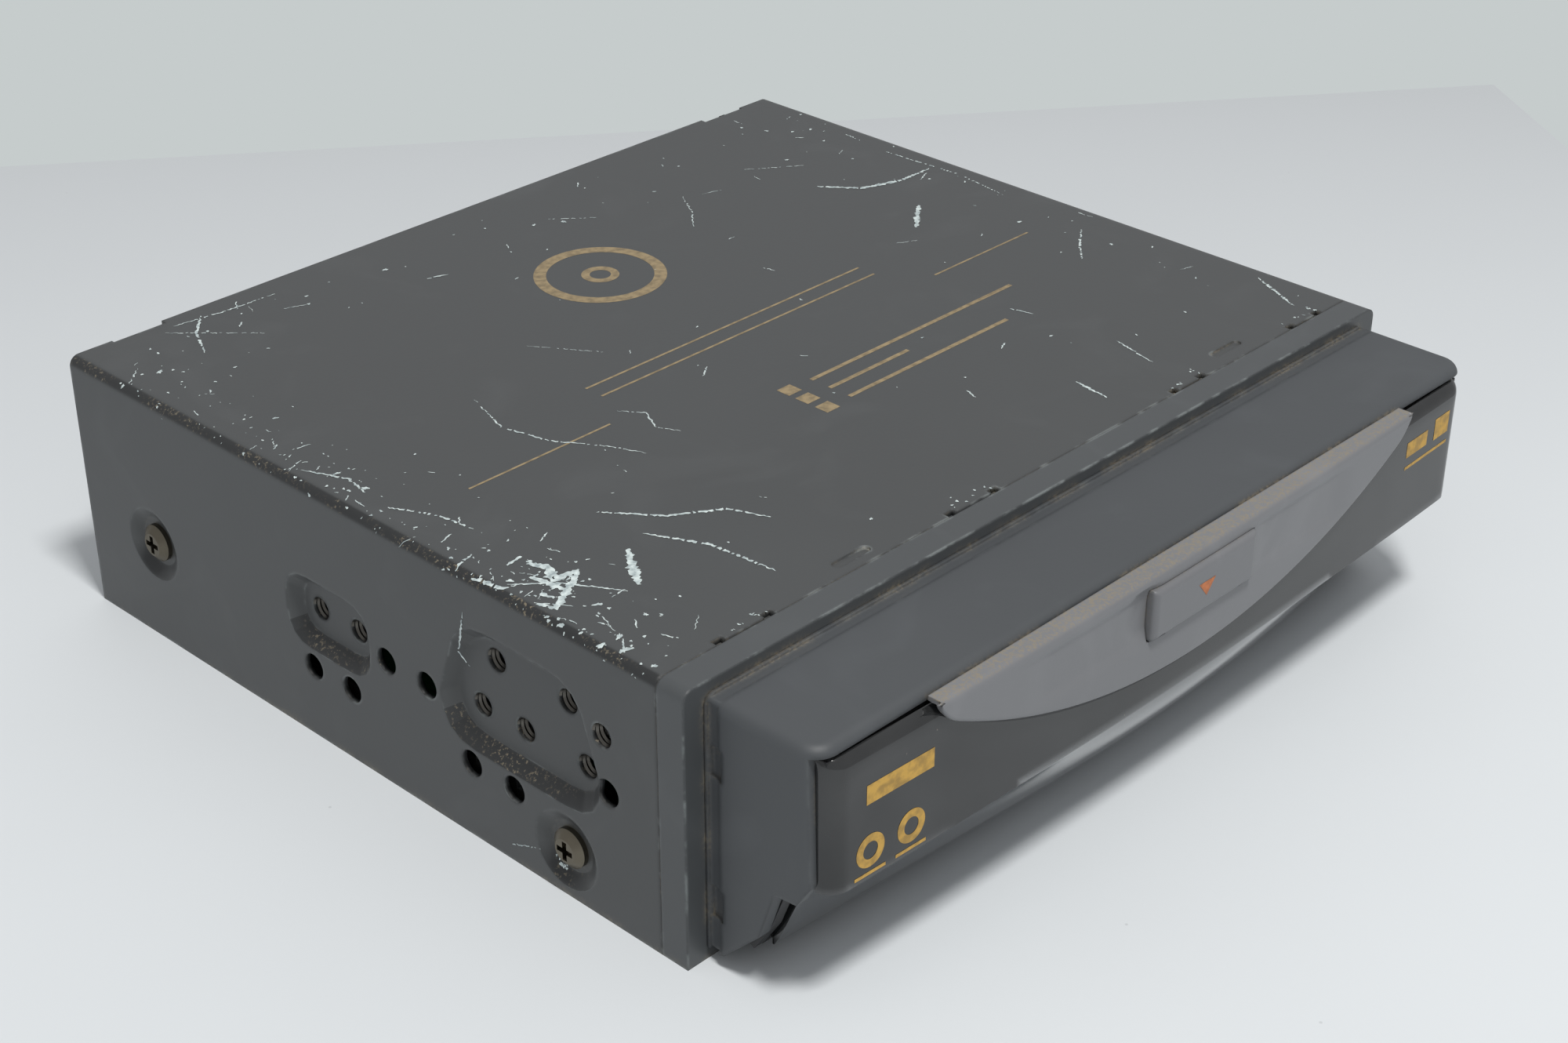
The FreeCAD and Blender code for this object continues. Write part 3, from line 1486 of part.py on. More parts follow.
def make_spindle():
    centre = (as_size(0), depth(d.spindle_y))
    motor_low = d.plate_low - d.motor_height
    motor = fuse("spindle_motor_blank", [
        rod("spindle_can", "Z", centre, d.motor_radius, motor_low + d.part_gap, d.plate_low - d.seat_gap),
        rod("spindle_boss", "Z", centre, d.motor_boss_radius - d.seat_gap, d.plate_low - 0.5,
            PLATE_TOP + 1.6),
    ])
    bore = rod("spindle_bore", "Z", centre, d.shaft_radius + d.shaft_gap, motor_low + 1, PLATE_TOP + 3)
    node("spindle_motor", cut("spindle_motor", motor, [bore]))
    low = d.table_low
    top = low + d.table_thickness
    table = body("table")
    pad(table, "XY", [Circle(*centre, d.table_radius)], low, top)
    pad(table, "XY", [Circle(*centre, d.hub_radius)], top, top + d.hub_height)
    round_edges(table, d.hub_height * 0.6,
                lambda edge: edge.Closed and abs(edge.BoundBox.ZMin - (top + d.hub_height).value) < 0.001)
    pad(table, "XY", [Circle(*centre, d.hub_radius * 0.5)], PLATE_TOP + 2, low)
    pad(table, "XY", [Circle(*centre, d.shaft_radius)], motor_low + 1 + d.part_gap, PLATE_TOP + 2)
    node("turntable", table)


def make_clamp():
    centre = (as_size(0), depth(d.spindle_y))
    low = CLAMPER_LOW
    high = low + d.clamper_thickness
    neck_top = ARM_LOW + d.arm_thickness + 1
    clamper = fuse("clamper_blank", [
        cone("clamper_disc", "Z", centre, low, d.clamper_radius - 1, high, d.clamper_radius),
        rod("clamper_neck", "Z", centre, d.clamper_neck, high - d.overlap, neck_top),
        rod("clamper_cap", "Z", centre, d.clamper_neck + 2.5, neck_top - d.overlap, neck_top + d.past),
    ])
    recess = rod("clamper_recess", "Z", centre, d.hub_radius + 0.4, low - 1, low + 1.6)
    node("clamper", cut("clamper", clamper, [recess]))
    y, z = CLAMP_PIVOT
    arm_top = ARM_LOW + d.arm_thickness
    arm = body("arm")
    half = d.arm_half
    tail = d.arm_tail_half
    front = centre[1] - d.clamper_neck - d.arm_nose
    wide = front + d.arm_nose_length
    root = y - d.arm_root
    end = y + d.arm_end
    outline = [(-half * 0.6, front), (half * 0.6, front), (half, wide), (tail, root), (tail, end),
               (-tail, end), (-tail, root), (-half, wide)]
    pad(arm, "XY", [outline], ARM_LOW, arm_top)
    pocket(arm, "XY", [Circle(*centre, d.clamper_neck + 0.4)], ARM_LOW, arm_top)
    pocket(arm, "XY", [rectangle((-half * 0.55, half * 0.55), (centre[1] + d.arm_window, y - d.arm_nose))],
           ARM_LOW, arm_top)
    hinge = rod("arm_tube", "X", CLAMP_PIVOT, d.clamp_shaft_radius + d.arm_tube, -tail, tail)
    bore = rod("arm_bore", "X", CLAMP_PIVOT, d.clamp_shaft_radius + d.shaft_gap, -tail - d.past,
               tail + d.past)
    node("clamp_arm", cut("clamp_arm", fuse("arm_blank", [arm, hinge]), [bore]))
    node("clamp_shaft",
         rod("clamp_shaft", "X", CLAMP_PIVOT, d.clamp_shaft_radius, -d.deck_half - d.overlap,
             d.deck_half + d.overlap))


def make_pickup():
    ends = (d.rod_left_x - d.rod_stand / 2, d.rod_right_x + d.rod_stand / 2)
    rods = [rod("guide_rod", "X", (depth(y), d.rod_level), d.rod_radius, *ends)
            for y in (d.rod_front_y, d.rod_rear_y)]
    node("guide_rods", group("guide_rods", rods))
    sled = body("sled_block")
    x = (d.sled_left_x, d.sled_right_x)
    front = depth(d.rod_front_y) - 3.2
    rear = depth(d.rod_rear_y) + 2.4
    middle = depth(d.spindle_y)
    waist = d.table_radius + 1.5
    pad(sled, "XY", [rectangle(x, (front, rear))], d.sled_low, d.sled_high)
    notch = Circle(0, middle, waist)
    pocket(sled, "XY", [notch], d.sled_low, d.sled_high)
    bore = Circle(depth(d.rod_front_y), d.rod_level, d.rod_radius + d.shaft_gap)
    fork = rectangle((depth(d.rod_rear_y) - d.rod_radius - d.shaft_gap, rear + 1),
                     (d.rod_level - d.rod_radius - d.shaft_gap, d.rod_level + d.rod_radius + d.shaft_gap))
    pocket(sled, "YZ", [bore], *x)
    pocket(sled, "YZ", [fork], *x)
    lens_spot = (d.lens_x, middle)
    pocket(sled, "XY", [Circle(*lens_spot, d.lens_radius + 1.4)], d.sled_high - 2, d.sled_high)
    screw_y = depth(d.screw_y)
    nut = box("sled_nut", (d.lens_x - 4, d.lens_x + 4), (screw_y - 1, front + d.overlap),
              (d.rod_level - 2.3, d.rod_level - 0.2))
    groove = rod("sled_nut_groove", "X", (screw_y, d.rod_level), d.screw_radius + d.shaft_gap, d.lens_x - 6,
                 d.lens_x + 6)
    node("pickup_sled", fuse("pickup_sled", [sled, cut("sled_nut_cut", nut, [groove])]))
    lens = common("lens_shape", [
        rod("lens_ring", "Z", lens_spot, d.lens_radius, d.sled_high - 1.9, d.sled_high + 0.5),
        cone("lens_rim", "Z", lens_spot, d.sled_high - 1.9, d.lens_radius + 1.4, d.sled_high + 0.5,
             d.lens_radius - 0.6),
    ])
    node("pickup_lens", lens)
    line = (screw_y, d.rod_level)
    node("lead_screw", fuse("lead_screw", [
        rod("lead_thread", "X", line, d.screw_radius, ends[0] + d.rod_stand + d.part_gap,
            ends[1] - d.rod_stand - d.part_gap),
        rod("lead_ends", "X", line, d.shaft_radius, ends[0] - 6, ends[1] + d.overlap),
    ]))
    can = rod("sled_motor_can", "X", line, d.sled_motor_radius, *SLED_MOTOR_X)
    hole = rod("sled_motor_bore", "X", line, d.shaft_radius + d.shaft_gap, ends[0] - 7, ends[0])
    node("sled_motor", cut("sled_motor", can, [hole]))


# Loading roller and its train


def make_roller():
    y, z = ROLLER
    half = d.roller_half
    tube = rod("roller_tube", "X", ROLLER, d.roller_radius, -half, half)
    waist = rod("roller_bore", "X", ROLLER, d.roller_shaft_radius, -half - d.past, half + d.past)
    node("loading_roller", cut("loading_roller", tube, [waist]))
    node("roller_shaft",
         rod("roller_shaft", "X", ROLLER, d.roller_shaft_radius, ROLLER_SHAFT_LEFT, d.deck_half + 1.5))
    bushes = []
    for side in SIDES:
        near = d.deck_half - d.sheet - d.bush_length / 2
        far = d.deck_half + d.seat_gap * 2
        sleeve = rod("bush", "X", ROLLER, d.bush_radius, *pair(side, near, far))
        rim = rod("bush_rim", "X", ROLLER, d.bush_radius + 1.2,
                  *pair(side, near, d.deck_half - d.sheet - d.seat_gap))
        hole = rod("bush_bore", "X", ROLLER, d.roller_shaft_radius + d.shaft_gap,
                   *pair(side, near - d.past, far + d.past))
        bushes.append(cut("bush_cut", fuse("bush_blank", [sleeve, rim]), [hole]))
    node("roller_bushes", group("roller_bushes", bushes))
    roller_phase = 0.0
    idler_phase = meshing_phase(SIZES["idler_teeth"], SIZES["roller_teeth"], roller_phase, 0.0)
    pinion_phase = meshing_phase(SIZES["pinion_teeth"], SIZES["idler_teeth"], idler_phase, -TRAIN_TURN)
    node("roller_gear",
         solid("roller_gear", gear(d.roller_teeth, ROLLER, roller_phase, *GEAR_X, d.roller_shaft_radius)))
    node("idler_gear",
         solid("idler_gear",
               gear(d.idler_teeth, IDLER, idler_phase, *GEAR_X, d.shaft_radius + d.shaft_gap)))
    pinion = solid("pinion_teeth", gear(d.pinion_teeth, PINION, pinion_phase, *GEAR_X, None))
    inside = -d.deck_half + d.sheet + d.seat_gap
    stub = rod("pinion_stub", "X", PINION, d.shaft_radius, GEAR_X[1] - d.overlap, inside + 6)
    node("motor_pinion", fuse("motor_pinion", [pinion, stub]))
    can = rod("load_can", "X", PINION, d.load_motor_radius, inside, inside + d.load_motor_length)
    hole = rod("load_bore", "X", PINION, d.shaft_radius + d.shaft_gap, inside - 1, inside + 6.5)
    node("loading_motor", cut("loading_motor", can, [hole]))


def make_disc_guide():
    guide = body("guide")
    half = d.deck_half - d.sheet - d.seat_gap
    y = (depth(d.guide_front_y), depth(d.guide_rear_y))
    low = GUIDE_LOW
    top = low + d.guide_thickness
    pad(guide, "XY", [rectangle((-half, half), y)], low, top)
    for side in SIDES:
        legs = rectangle(pair(side, half - d.guide_leg, half), y)
        pad(guide, "XY", [legs], top, DECK_HIGH - d.guide_leg * 2)
    ribs = [rectangle((x - d.rib_half, x + d.rib_half), y)
            for x in (-d.rib_spread, as_size(0), d.rib_spread)]
    pad(guide, "XY", ribs, top, top + d.guide_leg)
    node("disc_guide", guide)


def make_servo_board():
    low = SERVO_LOW
    top = low + d.servo_board
    half = d.servo_half
    front = depth(d.servo_front_y)
    rear = depth(d.deck_rear_y) + 1
    board = box("servo_plate", (-half, half), (front, rear), (low, top))
    chip = box("servo_chip", (-d.chip_half, d.chip_half),
               (front + d.chip_inset, front + d.chip_inset + d.chip_half * 2),
               (low - d.chip_height, low + d.chip_sunk))
    node("servo_board", fuse("servo_board", [board, chip]))
    y = depth(d.ribbon_y)
    half = d.ribbon_width / 2
    socket_top = low - d.seat_gap
    sockets = [
        box("upper_ribbon_socket", (-half - d.plug_side, half + d.plug_side),
            (rear - d.plug_length, rear - d.overlap),
            (socket_top - d.plug_height, socket_top)),
        box("lower_ribbon_socket", (-half - d.plug_side, half + d.plug_side),
            (y - d.plug_side, y + d.plug_height),
            (BOARD_TOP + d.seat_gap, BOARD_TOP + d.plug_length)),
    ]
    node("ribbon_sockets", group("ribbon_sockets", sockets))
    level = socket_top - d.plug_side
    foot = BOARD_TOP + d.plug_length + d.ribbon_clear
    end = rear - d.ribbon
    ribbon = [(end, level), (y, level), (y, foot), (y + d.ribbon, foot), (y + d.ribbon, level + d.ribbon),
              (end, level + d.ribbon)]
    strip = body("ribbon_strip")
    pad(strip, "YZ", [ribbon], -half, half)
    node("ribbon_cable", strip)


# Nose


CHEEK_IN = NOSE_HALF - d.cheek
HINGE = (depth(-d.hinge_reach), d.hinge_z)
NOSE_OPENING = (d.collar_opening_low + 1, d.case_height - d.collar_opening_low)


def make_nose_shell():
    nose = body("nose")
    low = d.nose_low
    high = d.nose_high
    face = depth(-d.nose_frame)
    flange = depth(-d.nose_flange)
    waist = d.neck_waist
    half = NOSE_HALF
    pad(nose, "XZ", [rectangle((-half, half), (low, high))], flange, depth(-d.seat_gap))
    pad(nose, "XZ", [rectangle((-half + waist, half - waist), (low + waist, high - waist))], face, flange)
    roof = [(face, high), (depth(-d.shell_reach), high), (depth(-d.shell_reach), high - d.nose_wall),
            (face, high - d.nose_wall)]
    pad(nose, "YZ", [roof], -half, half)
    cheek = [
        (face, high),
        (depth(-d.cheek_top_reach), high),
        (depth(-d.cheek_reach), d.cheek_low),
        (depth(-d.notch_reach), d.notch_low),
        (depth(-d.chin_reach), d.chin_high),
        (depth(-d.chin_mid_reach), d.chin_mid_z),
        (depth(-d.heel_reach), low + 0.4),
        (face, low),
    ]
    for side in SIDES:
        pad(nose, "YZ", [cheek], *pair(side, CHEEK_IN, half))
    opening = HALF - d.collar_opening_side - 1
    pocket(nose, "XZ", [rectangle((-opening, opening), NOSE_OPENING)], face, depth(0))
    for side in SIDES:
        windows = [rectangle((depth(-d.snap_far), depth(-d.snap_near)),
                             (size(f"snap_{i}_low"), size(f"snap_{i}_high"))) for i in (1, 2)]
        pocket(nose, "YZ", windows, *pair(side, half - d.snap_press, half))
        pocket(nose, "YZ", [Circle(*HINGE, d.hinge_pin_radius)], *pair(side, CHEEK_IN, half - 1))
    posts = [Circle(x, z, d.small_screw_radius + d.shaft_gap) for x, z in nose_screw_places()]
    pocket(nose, "XZ", posts, face + 0.4, depth(0))
    limit = body("nose_limit")
    front = depth(-d.shell_reach)
    rear = depth(d.past)
    pad(limit, "XZ", [rectangle((-half, half), (0, high))], front, rear)
    round_edges(limit, d.nose_corner, runs_along("Z", [(-half, front), (half, front)]))
    round_edges(limit, d.nose_round, rim_before(high, rear))
    node("nose_shell", common("nose_shell", [nose, limit]))
    pins = [rod("hinge_pin", "X", HINGE, d.hinge_pin_radius,
                *pair(side, CHEEK_IN - d.part_gap - d.ear, half - 1)) for side in SIDES]
    node("hinge_pins", group("hinge_pins", pins))


SLOT_Z = (d.disc_level - d.slot_height / 2, d.disc_level + d.slot_height / 2)
BEZEL_FRONT = depth(-d.bezel_reach)
BEZEL_REAR = depth(-d.nose_frame - d.seat_gap)
BEZEL_HALF = CHIN_HALF + d.shaft_gap * 4
BEZEL_TOP = d.nose_high - d.nose_wall - d.part_gap
LATCH_REAR = depth(-d.door_back + d.seat_gap * 2) + d.carrier + d.seat_gap * 2 + d.latch


def make_slot_bezel():
    bezel = body("bezel")
    half = BEZEL_HALF
    wall = d.bezel_wall
    low = d.bezel_low
    top = BEZEL_TOP
    pad(bezel, "XZ", [rectangle((-half, half), (low, top))], BEZEL_FRONT, BEZEL_REAR)
    pocket(bezel, "XZ", [rectangle((-half + wall, half - wall), (low + wall, top - wall))],
           BEZEL_FRONT + wall, BEZEL_REAR)
    duct = (-d.slot_half - d.duct_wall, d.slot_half + d.duct_wall)
    inside = (SLOT_Z[0] - d.duct_wall, SLOT_Z[1] + d.duct_wall)
    pad(bezel, "XZ", [rectangle(duct, inside)], BEZEL_FRONT + wall / 2, depth(d.duct_rear_y))
    pocket(bezel, "XZ", [rectangle((-d.slot_half, d.slot_half), SLOT_Z)], BEZEL_FRONT, depth(d.duct_rear_y))
    key_x = (KEY_X - d.key_width / 2 - d.part_gap, KEY_X + d.key_width / 2 + d.part_gap)
    key_z = (d.key_z - d.key_height / 2 - d.part_gap, d.key_z + d.key_height / 2 + d.part_gap)
    reach = d.hook_half + 1
    window = rectangle((-reach, reach),
                       (d.hook_low - d.latch_drop - 1.6, d.hook_low + d.hook + d.hook_barb + d.part_gap))
    pocket(bezel, "XZ", [rectangle(key_x, key_z), window], BEZEL_FRONT, BEZEL_FRONT + wall)
    bosses = [Circle(x, z, 1.8) for x, z in front_board_posts()]
    pad(bezel, "XZ", bosses, BEZEL_FRONT + wall / 2, KEY_BOARD[0] - d.seat_gap)
    node("slot_bezel", bezel)


KEY_REAR = BEZEL_FRONT - d.key_proud + d.key_depth
SWITCH_FRONT = KEY_REAR + d.key_travel + d.seat_gap * 2
KEY_BOARD = (SWITCH_FRONT + 2, SWITCH_FRONT + 3)


def front_board_posts():
    low = SLOT_Z[1] + d.duct_wall + 3
    return [(d.front_board_left_x + 3, low), (KEY_X - 9, low)]


def make_front_controls():
    felts = [
        box("felt", (-d.slot_half + d.seat_gap, d.slot_half - d.seat_gap),
            (BEZEL_FRONT + 3, BEZEL_FRONT + 6), z)
        for z in ((SLOT_Z[0] + d.seat_gap, SLOT_Z[0] + d.felt),
                  (SLOT_Z[1] - d.felt, SLOT_Z[1] - d.seat_gap))
    ]
    node("slot_felts", group("slot_felts", felts))
    x = (KEY_X - d.key_width / 2, KEY_X + d.key_width / 2)
    z = (d.key_z - d.key_height / 2, d.key_z + d.key_height / 2)
    cap = body("key_cap")
    pad(cap, "XZ", [rectangle(x, z)], BEZEL_FRONT - d.key_proud, KEY_REAR)
    round_edges(cap, d.key_proud * 0.4, at_front(BEZEL_FRONT - d.key_proud))
    lip_y = BEZEL_FRONT + d.bezel_wall + d.seat_gap
    pad(cap, "XZ", [rectangle((x[0] - 1, x[1] + 1), (z[0] - 1, z[1] + 1))], lip_y, lip_y + 1)
    node("eject_key", cap)
    switch = box("switch", (KEY_X - 3, KEY_X + 3), (SWITCH_FRONT + 0.8, KEY_BOARD[0] - d.seat_gap),
                 (d.key_z - 2, d.key_z + 2))
    dome = rod("switch_dome", "Y", (KEY_X, d.key_z), 1.4, SWITCH_FRONT, SWITCH_FRONT + 1)
    node("key_switch", fuse("key_switch", [switch, dome]))
    low = SLOT_Z[1] + d.duct_wall + d.part_gap
    board = box("key_plate", (d.front_board_left_x, BEZEL_HALF - d.bezel_wall - d.part_gap), KEY_BOARD,
                (low, BEZEL_TOP - d.bezel_wall - d.part_gap))
    node("front_board", board)


# Door


DOOR_BACK = depth(-d.door_back)
CARRIER = (DOOR_BACK + d.seat_gap * 2, DOOR_BACK + d.seat_gap * 2 + d.carrier)


def bowed(name, half, reach, z, back):
    """A plate with a slightly bowed front, thinner at its ends."""
    bow = d.door_bow
    radius = (half * half + bow * bow) / (bow * 2)
    front = depth(-reach)
    block = box(name + "_block", (-half, half), (front, back), z)
    drum = rod(name + "_drum", "Z", (0, front + radius), radius, z[0], z[1])
    return common(name, [block, drum])


DOOR_FRONT = d.door_back + d.door_edge + d.door_bow


CHIN_STATIONS = 9
CHIN_STEPS = 6


def blend(first, second, share):
    """A point between two points."""
    return tuple(u * (1 - share) + v * share for u, v in zip(first, second))


def chin_pulls():
    """Control points of the chin's curve at its ends and in the middle."""
    end = [
        (depth(-d.chin_end_reach), d.door_low),
        (depth(-d.chin_end_pull_1_reach), d.chin_end_pull_1_z),
        (depth(-d.chin_end_pull_2_reach), d.chin_end_pull_2_z),
        (depth(-d.chin_end_foot), d.chin_foot_z),
    ]
    middle = [
        (depth(-d.chin_mid_front), d.door_low),
        (depth(-d.chin_mid_pull_1_reach), d.chin_mid_pull_1_z),
        (depth(-d.chin_mid_pull_2_reach), d.chin_mid_pull_2_z),
        (depth(-d.chin_mid_foot), d.chin_foot_z),
    ]
    return end, middle


def curve(pulls, share):
    """A point of the Bezier curve through four control points."""
    while len(pulls) > 1:
        pulls = [blend(a, b, share) for a, b in zip(pulls, pulls[1:])]
    return pulls[0]


def chin_outline(middle_share, wall):
    """The chin's outline, set in by a wall that leaves it open to the rear and above."""
    end, middle = chin_pulls()
    pulls = [blend(a, b, middle_share) for a, b in zip(end, middle)]
    sets = ((1.1, 0.6), (1.1, 0.6), (1.0, 0.8), (0.6, 1.0))
    pulls = [(y + wall * u, z + wall * v) for (y, z), (u, v) in zip(pulls, sets)]
    tail = depth(-d.chin_rear) + wall * 3
    top = d.door_low + 2 + wall * 3
    points = [(pulls[0][0], top)]
    points += [curve(pulls, i / CHIN_STEPS) for i in range(CHIN_STEPS + 1)]
    points += [(tail, pulls[-1][1]), (tail, top)]
    return points


def chin_stations(wall):
    """Outlines of the chin at even steps from its left end to its right end."""
    stations = []
    for i in range(CHIN_STATIONS):
        place_share = i * 2 / (CHIN_STATIONS - 1) - 1
        stations.append((CHIN_HALF * place_share, chin_outline(1 - place_share ** 2, wall)))
    return stations


def make_door_front():
    slab = bowed("panel_slab", DOOR_HALF, DOOR_FRONT, (d.door_low, d.door_high), DOOR_BACK)
    front = depth(-DOOR_FRONT)
    corners = body("panel_corners")
    pad(corners, "XZ", [rectangle((-DOOR_HALF, DOOR_HALF), (d.door_low, d.door_high))], front,
        DOOR_BACK + d.door_corner)
    round_edges(corners, d.door_corner, runs_along("Z", [(-DOOR_HALF, front), (DOOR_HALF, front)]))
    panel = common("panel", [slab, corners])
    chin = body("chin")
    loft(chin, "Additive", "YZ", chin_stations(as_size(0)))
    loft(chin, "Subtractive", "YZ", chin_stations(d.chin_wall))
    hole = box("button_hole", (-d.button_half - d.button_gap, d.button_half + d.button_gap),
               (depth(-NOSE_REACH), DOOR_BACK + 1), (d.button_low - d.button_gap,
                                                     d.button_high + d.button_gap))
    pocket_y = (DOOR_BACK - d.display_depth - d.seat_gap * 2, DOOR_BACK + 5)
    window = box("display_pocket", (-d.display_half - 1, d.display_half + 1), pocket_y,
                 (d.display_low - 0.5, d.display_high + 0.5))
    keep = box("behind_panel", (-DOOR_HALF, DOOR_HALF), (DOOR_BACK, depth(0)),
               (d.door_low + 0.9, d.door_high))
    gear_room = box("gear_room", (-CHIN_HALF - 1, -d.damper_gear_x + d.damper_gear_width + 0.5),
                    (HINGE[0] + 0.7, depth(0)), (0, HINGE[1] + 6))
    skin = cut("chin_skin", chin, [keep, gear_room])
    node("door_front", cut("door_front", fuse("door_blank", [panel, skin]), [hole, window]))


def ear_outline():
    """The side plate of the door between its panel and the hinge pin."""
    y = HINGE[0]
    z = HINGE[1]
    return [
        (CARRIER[0], d.carrier_low),
        (depth(-d.chin_reach) - d.ear_inset, d.chin_high - d.ear_inset),
        (depth(-d.chin_mid_reach) + d.ear_inset, d.chin_mid_z),
        (depth(-d.chin_end_foot), d.chin_foot_z + d.ear_inset * 2),
        (y + d.ear_boss * 0.7, z - d.ear_boss * 0.85),
        (y + d.ear_boss, z),
        (y + d.ear_boss * 0.6, z + d.ear_boss),
        (y - d.ear_lean, z + d.ear_bend),
        (CARRIER[1], z + d.ear_height),
        (CARRIER[0], z + d.ear_height),
    ]


def make_door_carrier():
    outer = CHEEK_IN - d.part_gap
    carrier = body("carrier")
    pad(carrier, "XZ", [rectangle((-outer, outer), (d.carrier_low, d.carrier_high))], *CARRIER)
    for side in SIDES:
        pad(carrier, "YZ", [ear_outline()], *pair(side, outer - d.ear, outer))
        pocket(carrier, "YZ", [Circle(*HINGE, d.hinge_pin_radius + d.shaft_gap)],
               *pair(side, outer - d.ear, outer))
    rib = d.seat_gap * 2 + d.latch
    for side in SIDES:
        guide = rectangle(pair(side, d.latch_half + d.seat_gap, d.latch_half + d.seat_gap + 1),
                          (d.latch_low - 1.5, d.latch_high))
        pad(carrier, "XZ", [guide], CARRIER[1], CARRIER[1] + rib)
    stem = rectangle((-d.stem_half - d.part_gap, d.stem_half + d.part_gap),
                     (d.stem_low - d.part_gap, d.stem_high + d.part_gap))
    pocket(carrier, "XZ", [stem], *CARRIER)
    seats = [Circle(d.coil_x * side, d.coil_z, d.coil_radius + d.coil_wire + d.part_gap) for side in SIDES]
    pocket(carrier, "XZ", seats, CARRIER[0], CARRIER[0] + d.carrier * 0.6)
    x = (-outer + d.ear - 0.4, -d.damper_gear_x + d.damper_gear_width + d.seat_gap)
    teeth = solid("hinge_teeth", gear(d.hinge_teeth, HINGE, 0.0, *x, None))
    limit = box("sector_limit", x, (HINGE[0] + 1, HINGE[0] + 6), (HINGE[1] - 6, HINGE[1] + 6))
    bore = rod("hinge_bore", "X", HINGE, d.hinge_pin_radius + d.shaft_gap, x[0] - 1, x[1] + 1)
    blank = fuse("carrier_blank", [carrier, common("hinge_sector", [teeth, limit])])
    node("door_carrier", cut("door_carrier", blank, [bore]))


def make_crescent():
    half = d.crescent_half
    reach = DOOR_FRONT + d.crescent_proud
    rear = depth(-d.shell_reach - d.part_gap)
    z = (d.crescent_dip - d.past, d.crescent_top)
    slab = bowed("crescent_slab", DOOR_HALF, reach, z, rear)
    width = box("crescent_width", (-half, half), (depth(-reach), rear), z)
    arc = rod("crescent_arc", "Y", (0, d.crescent_dip + d.crescent_radius), d.crescent_radius,
              depth(-reach), rear)
    shape = common("crescent_shape", [slab, width, arc])
    seat = bowed("crescent_seat", DOOR_HALF, DOOR_FRONT + d.seat_gap / 2,
                 (d.crescent_dip - d.past * 2, d.door_high + d.seat_gap), DOOR_BACK)
    hole = box("crescent_hole", (-d.button_half - d.button_gap, d.button_half + d.button_gap),
               (depth(-reach - d.past), rear),
               (d.button_low - d.button_gap, d.button_high + d.button_gap))
    node("crescent_trim", cut("crescent_trim", shape, [seat, hole]))


def make_open_button():
    cap = body("button_cap")
    front = depth(-NOSE_REACH)
    rear = depth(-d.button_rear)
    z = (d.button_low, d.button_high)
    pad(cap, "XZ", [rectangle((-d.button_half, d.button_half), z)], front, rear)
    round_edges(cap, d.button_round, at_front(front))
    pad(cap, "XZ", [rectangle((-d.stem_half, d.stem_half), (d.stem_low, d.stem_high))], rear,
        CARRIER[1] + d.seat_gap)
    node("open_button", cap)
    low = rear + d.seat_gap
    high = CARRIER[0] + d.carrier * 0.6 - d.seat_gap
    coils = [spring_shape((d.coil_x * side, d.coil_z), low, high, d.coil_radius, d.coil_wire, "Y")
             for side in SIDES]
    node("button_springs", solid("button_springs", Part.Compound(coils)))


def make_door_latch():
    front = CARRIER[1] + d.seat_gap * 2
    rear = front + d.latch
    latch = body("latch_slider")
    half = d.latch_half
    low = d.latch_low
    top = d.latch_high
    drop = d.latch * 0.8
    wedge = [(front, low), (rear, low), (rear, top), (front, top - drop)]
    pad(latch, "YZ", [wedge], -half, half)
    hook_top = d.hook_low + d.hook
    tip = depth(-d.hook_reach)
    finger = [(rear, d.hook_low), (tip, d.hook_low), (tip, hook_top + d.hook_barb * 0.4),
              (tip - d.hook_barb_length * 0.55, hook_top + d.hook_barb),
              (tip - d.hook_barb_length, hook_top + d.hook_barb), (tip - d.hook_barb_length, hook_top),
              (rear, hook_top)]
    pad(latch, "YZ", [finger], -d.hook_half, d.hook_half)
    node("door_latch", latch)


def make_display():
    y = (DOOR_BACK - d.display_depth - d.seat_gap, DOOR_BACK - d.seat_gap)
    node("display", box("display", (-d.display_half, d.display_half), y, (d.display_low, d.display_high)))
    left = -DOOR_HALF + d.door_board_inset
    x = (left, left + d.door_board_width)
    y = (CARRIER[1] + d.seat_gap, CARRIER[1] + d.seat_gap + 1)
    node("door_board",
         box("door_board", x, y, (d.carrier_low + 1, d.carrier_low + 1 + d.door_board_height)))


DAMPER_TURN = math.radians(d.damper_angle.value)
DAMPER_SPAN = d.module * (d.hinge_teeth + d.damper_teeth) / 2
DAMPER = (HINGE[0] + DAMPER_SPAN * math.cos(DAMPER_TURN), HINGE[1] + DAMPER_SPAN * math.sin(DAMPER_TURN))


def make_damper():
    left = -d.damper_gear_x
    right = left + d.damper_gear_width
    phase = meshing_phase(SIZES["damper_teeth"], SIZES["hinge_teeth"], 0.0, DAMPER_TURN)
    wheel = solid("damper_teeth", gear(d.damper_teeth, DAMPER, phase, left, right, None))
    body_left = right + d.part_gap
    stub = rod("damper_stub", "X", DAMPER, d.shaft_radius, right - d.overlap,
               body_left + d.damper_body_length - 1)
    node("damper_gear", fuse("damper_gear", [wheel, stub]))
    can = rod("damper_can", "X", DAMPER, d.damper_body_radius, body_left, body_left + d.damper_body_length)
    foot = box("damper_leg", (body_left, body_left + 1.2),
               (depth(-d.nose_frame) + 0.2, depth(-d.seat_gap * 2)),
               (NOSE_OPENING[0] + d.seat_gap, DAMPER[1]))
    hole = rod("damper_bore", "X", DAMPER, d.shaft_radius + d.shaft_gap, body_left - 1,
               body_left + d.damper_body_length - 0.8)
    node("damper_body", cut("damper_body", fuse("damper_blank", [can, foot]), [hole]))


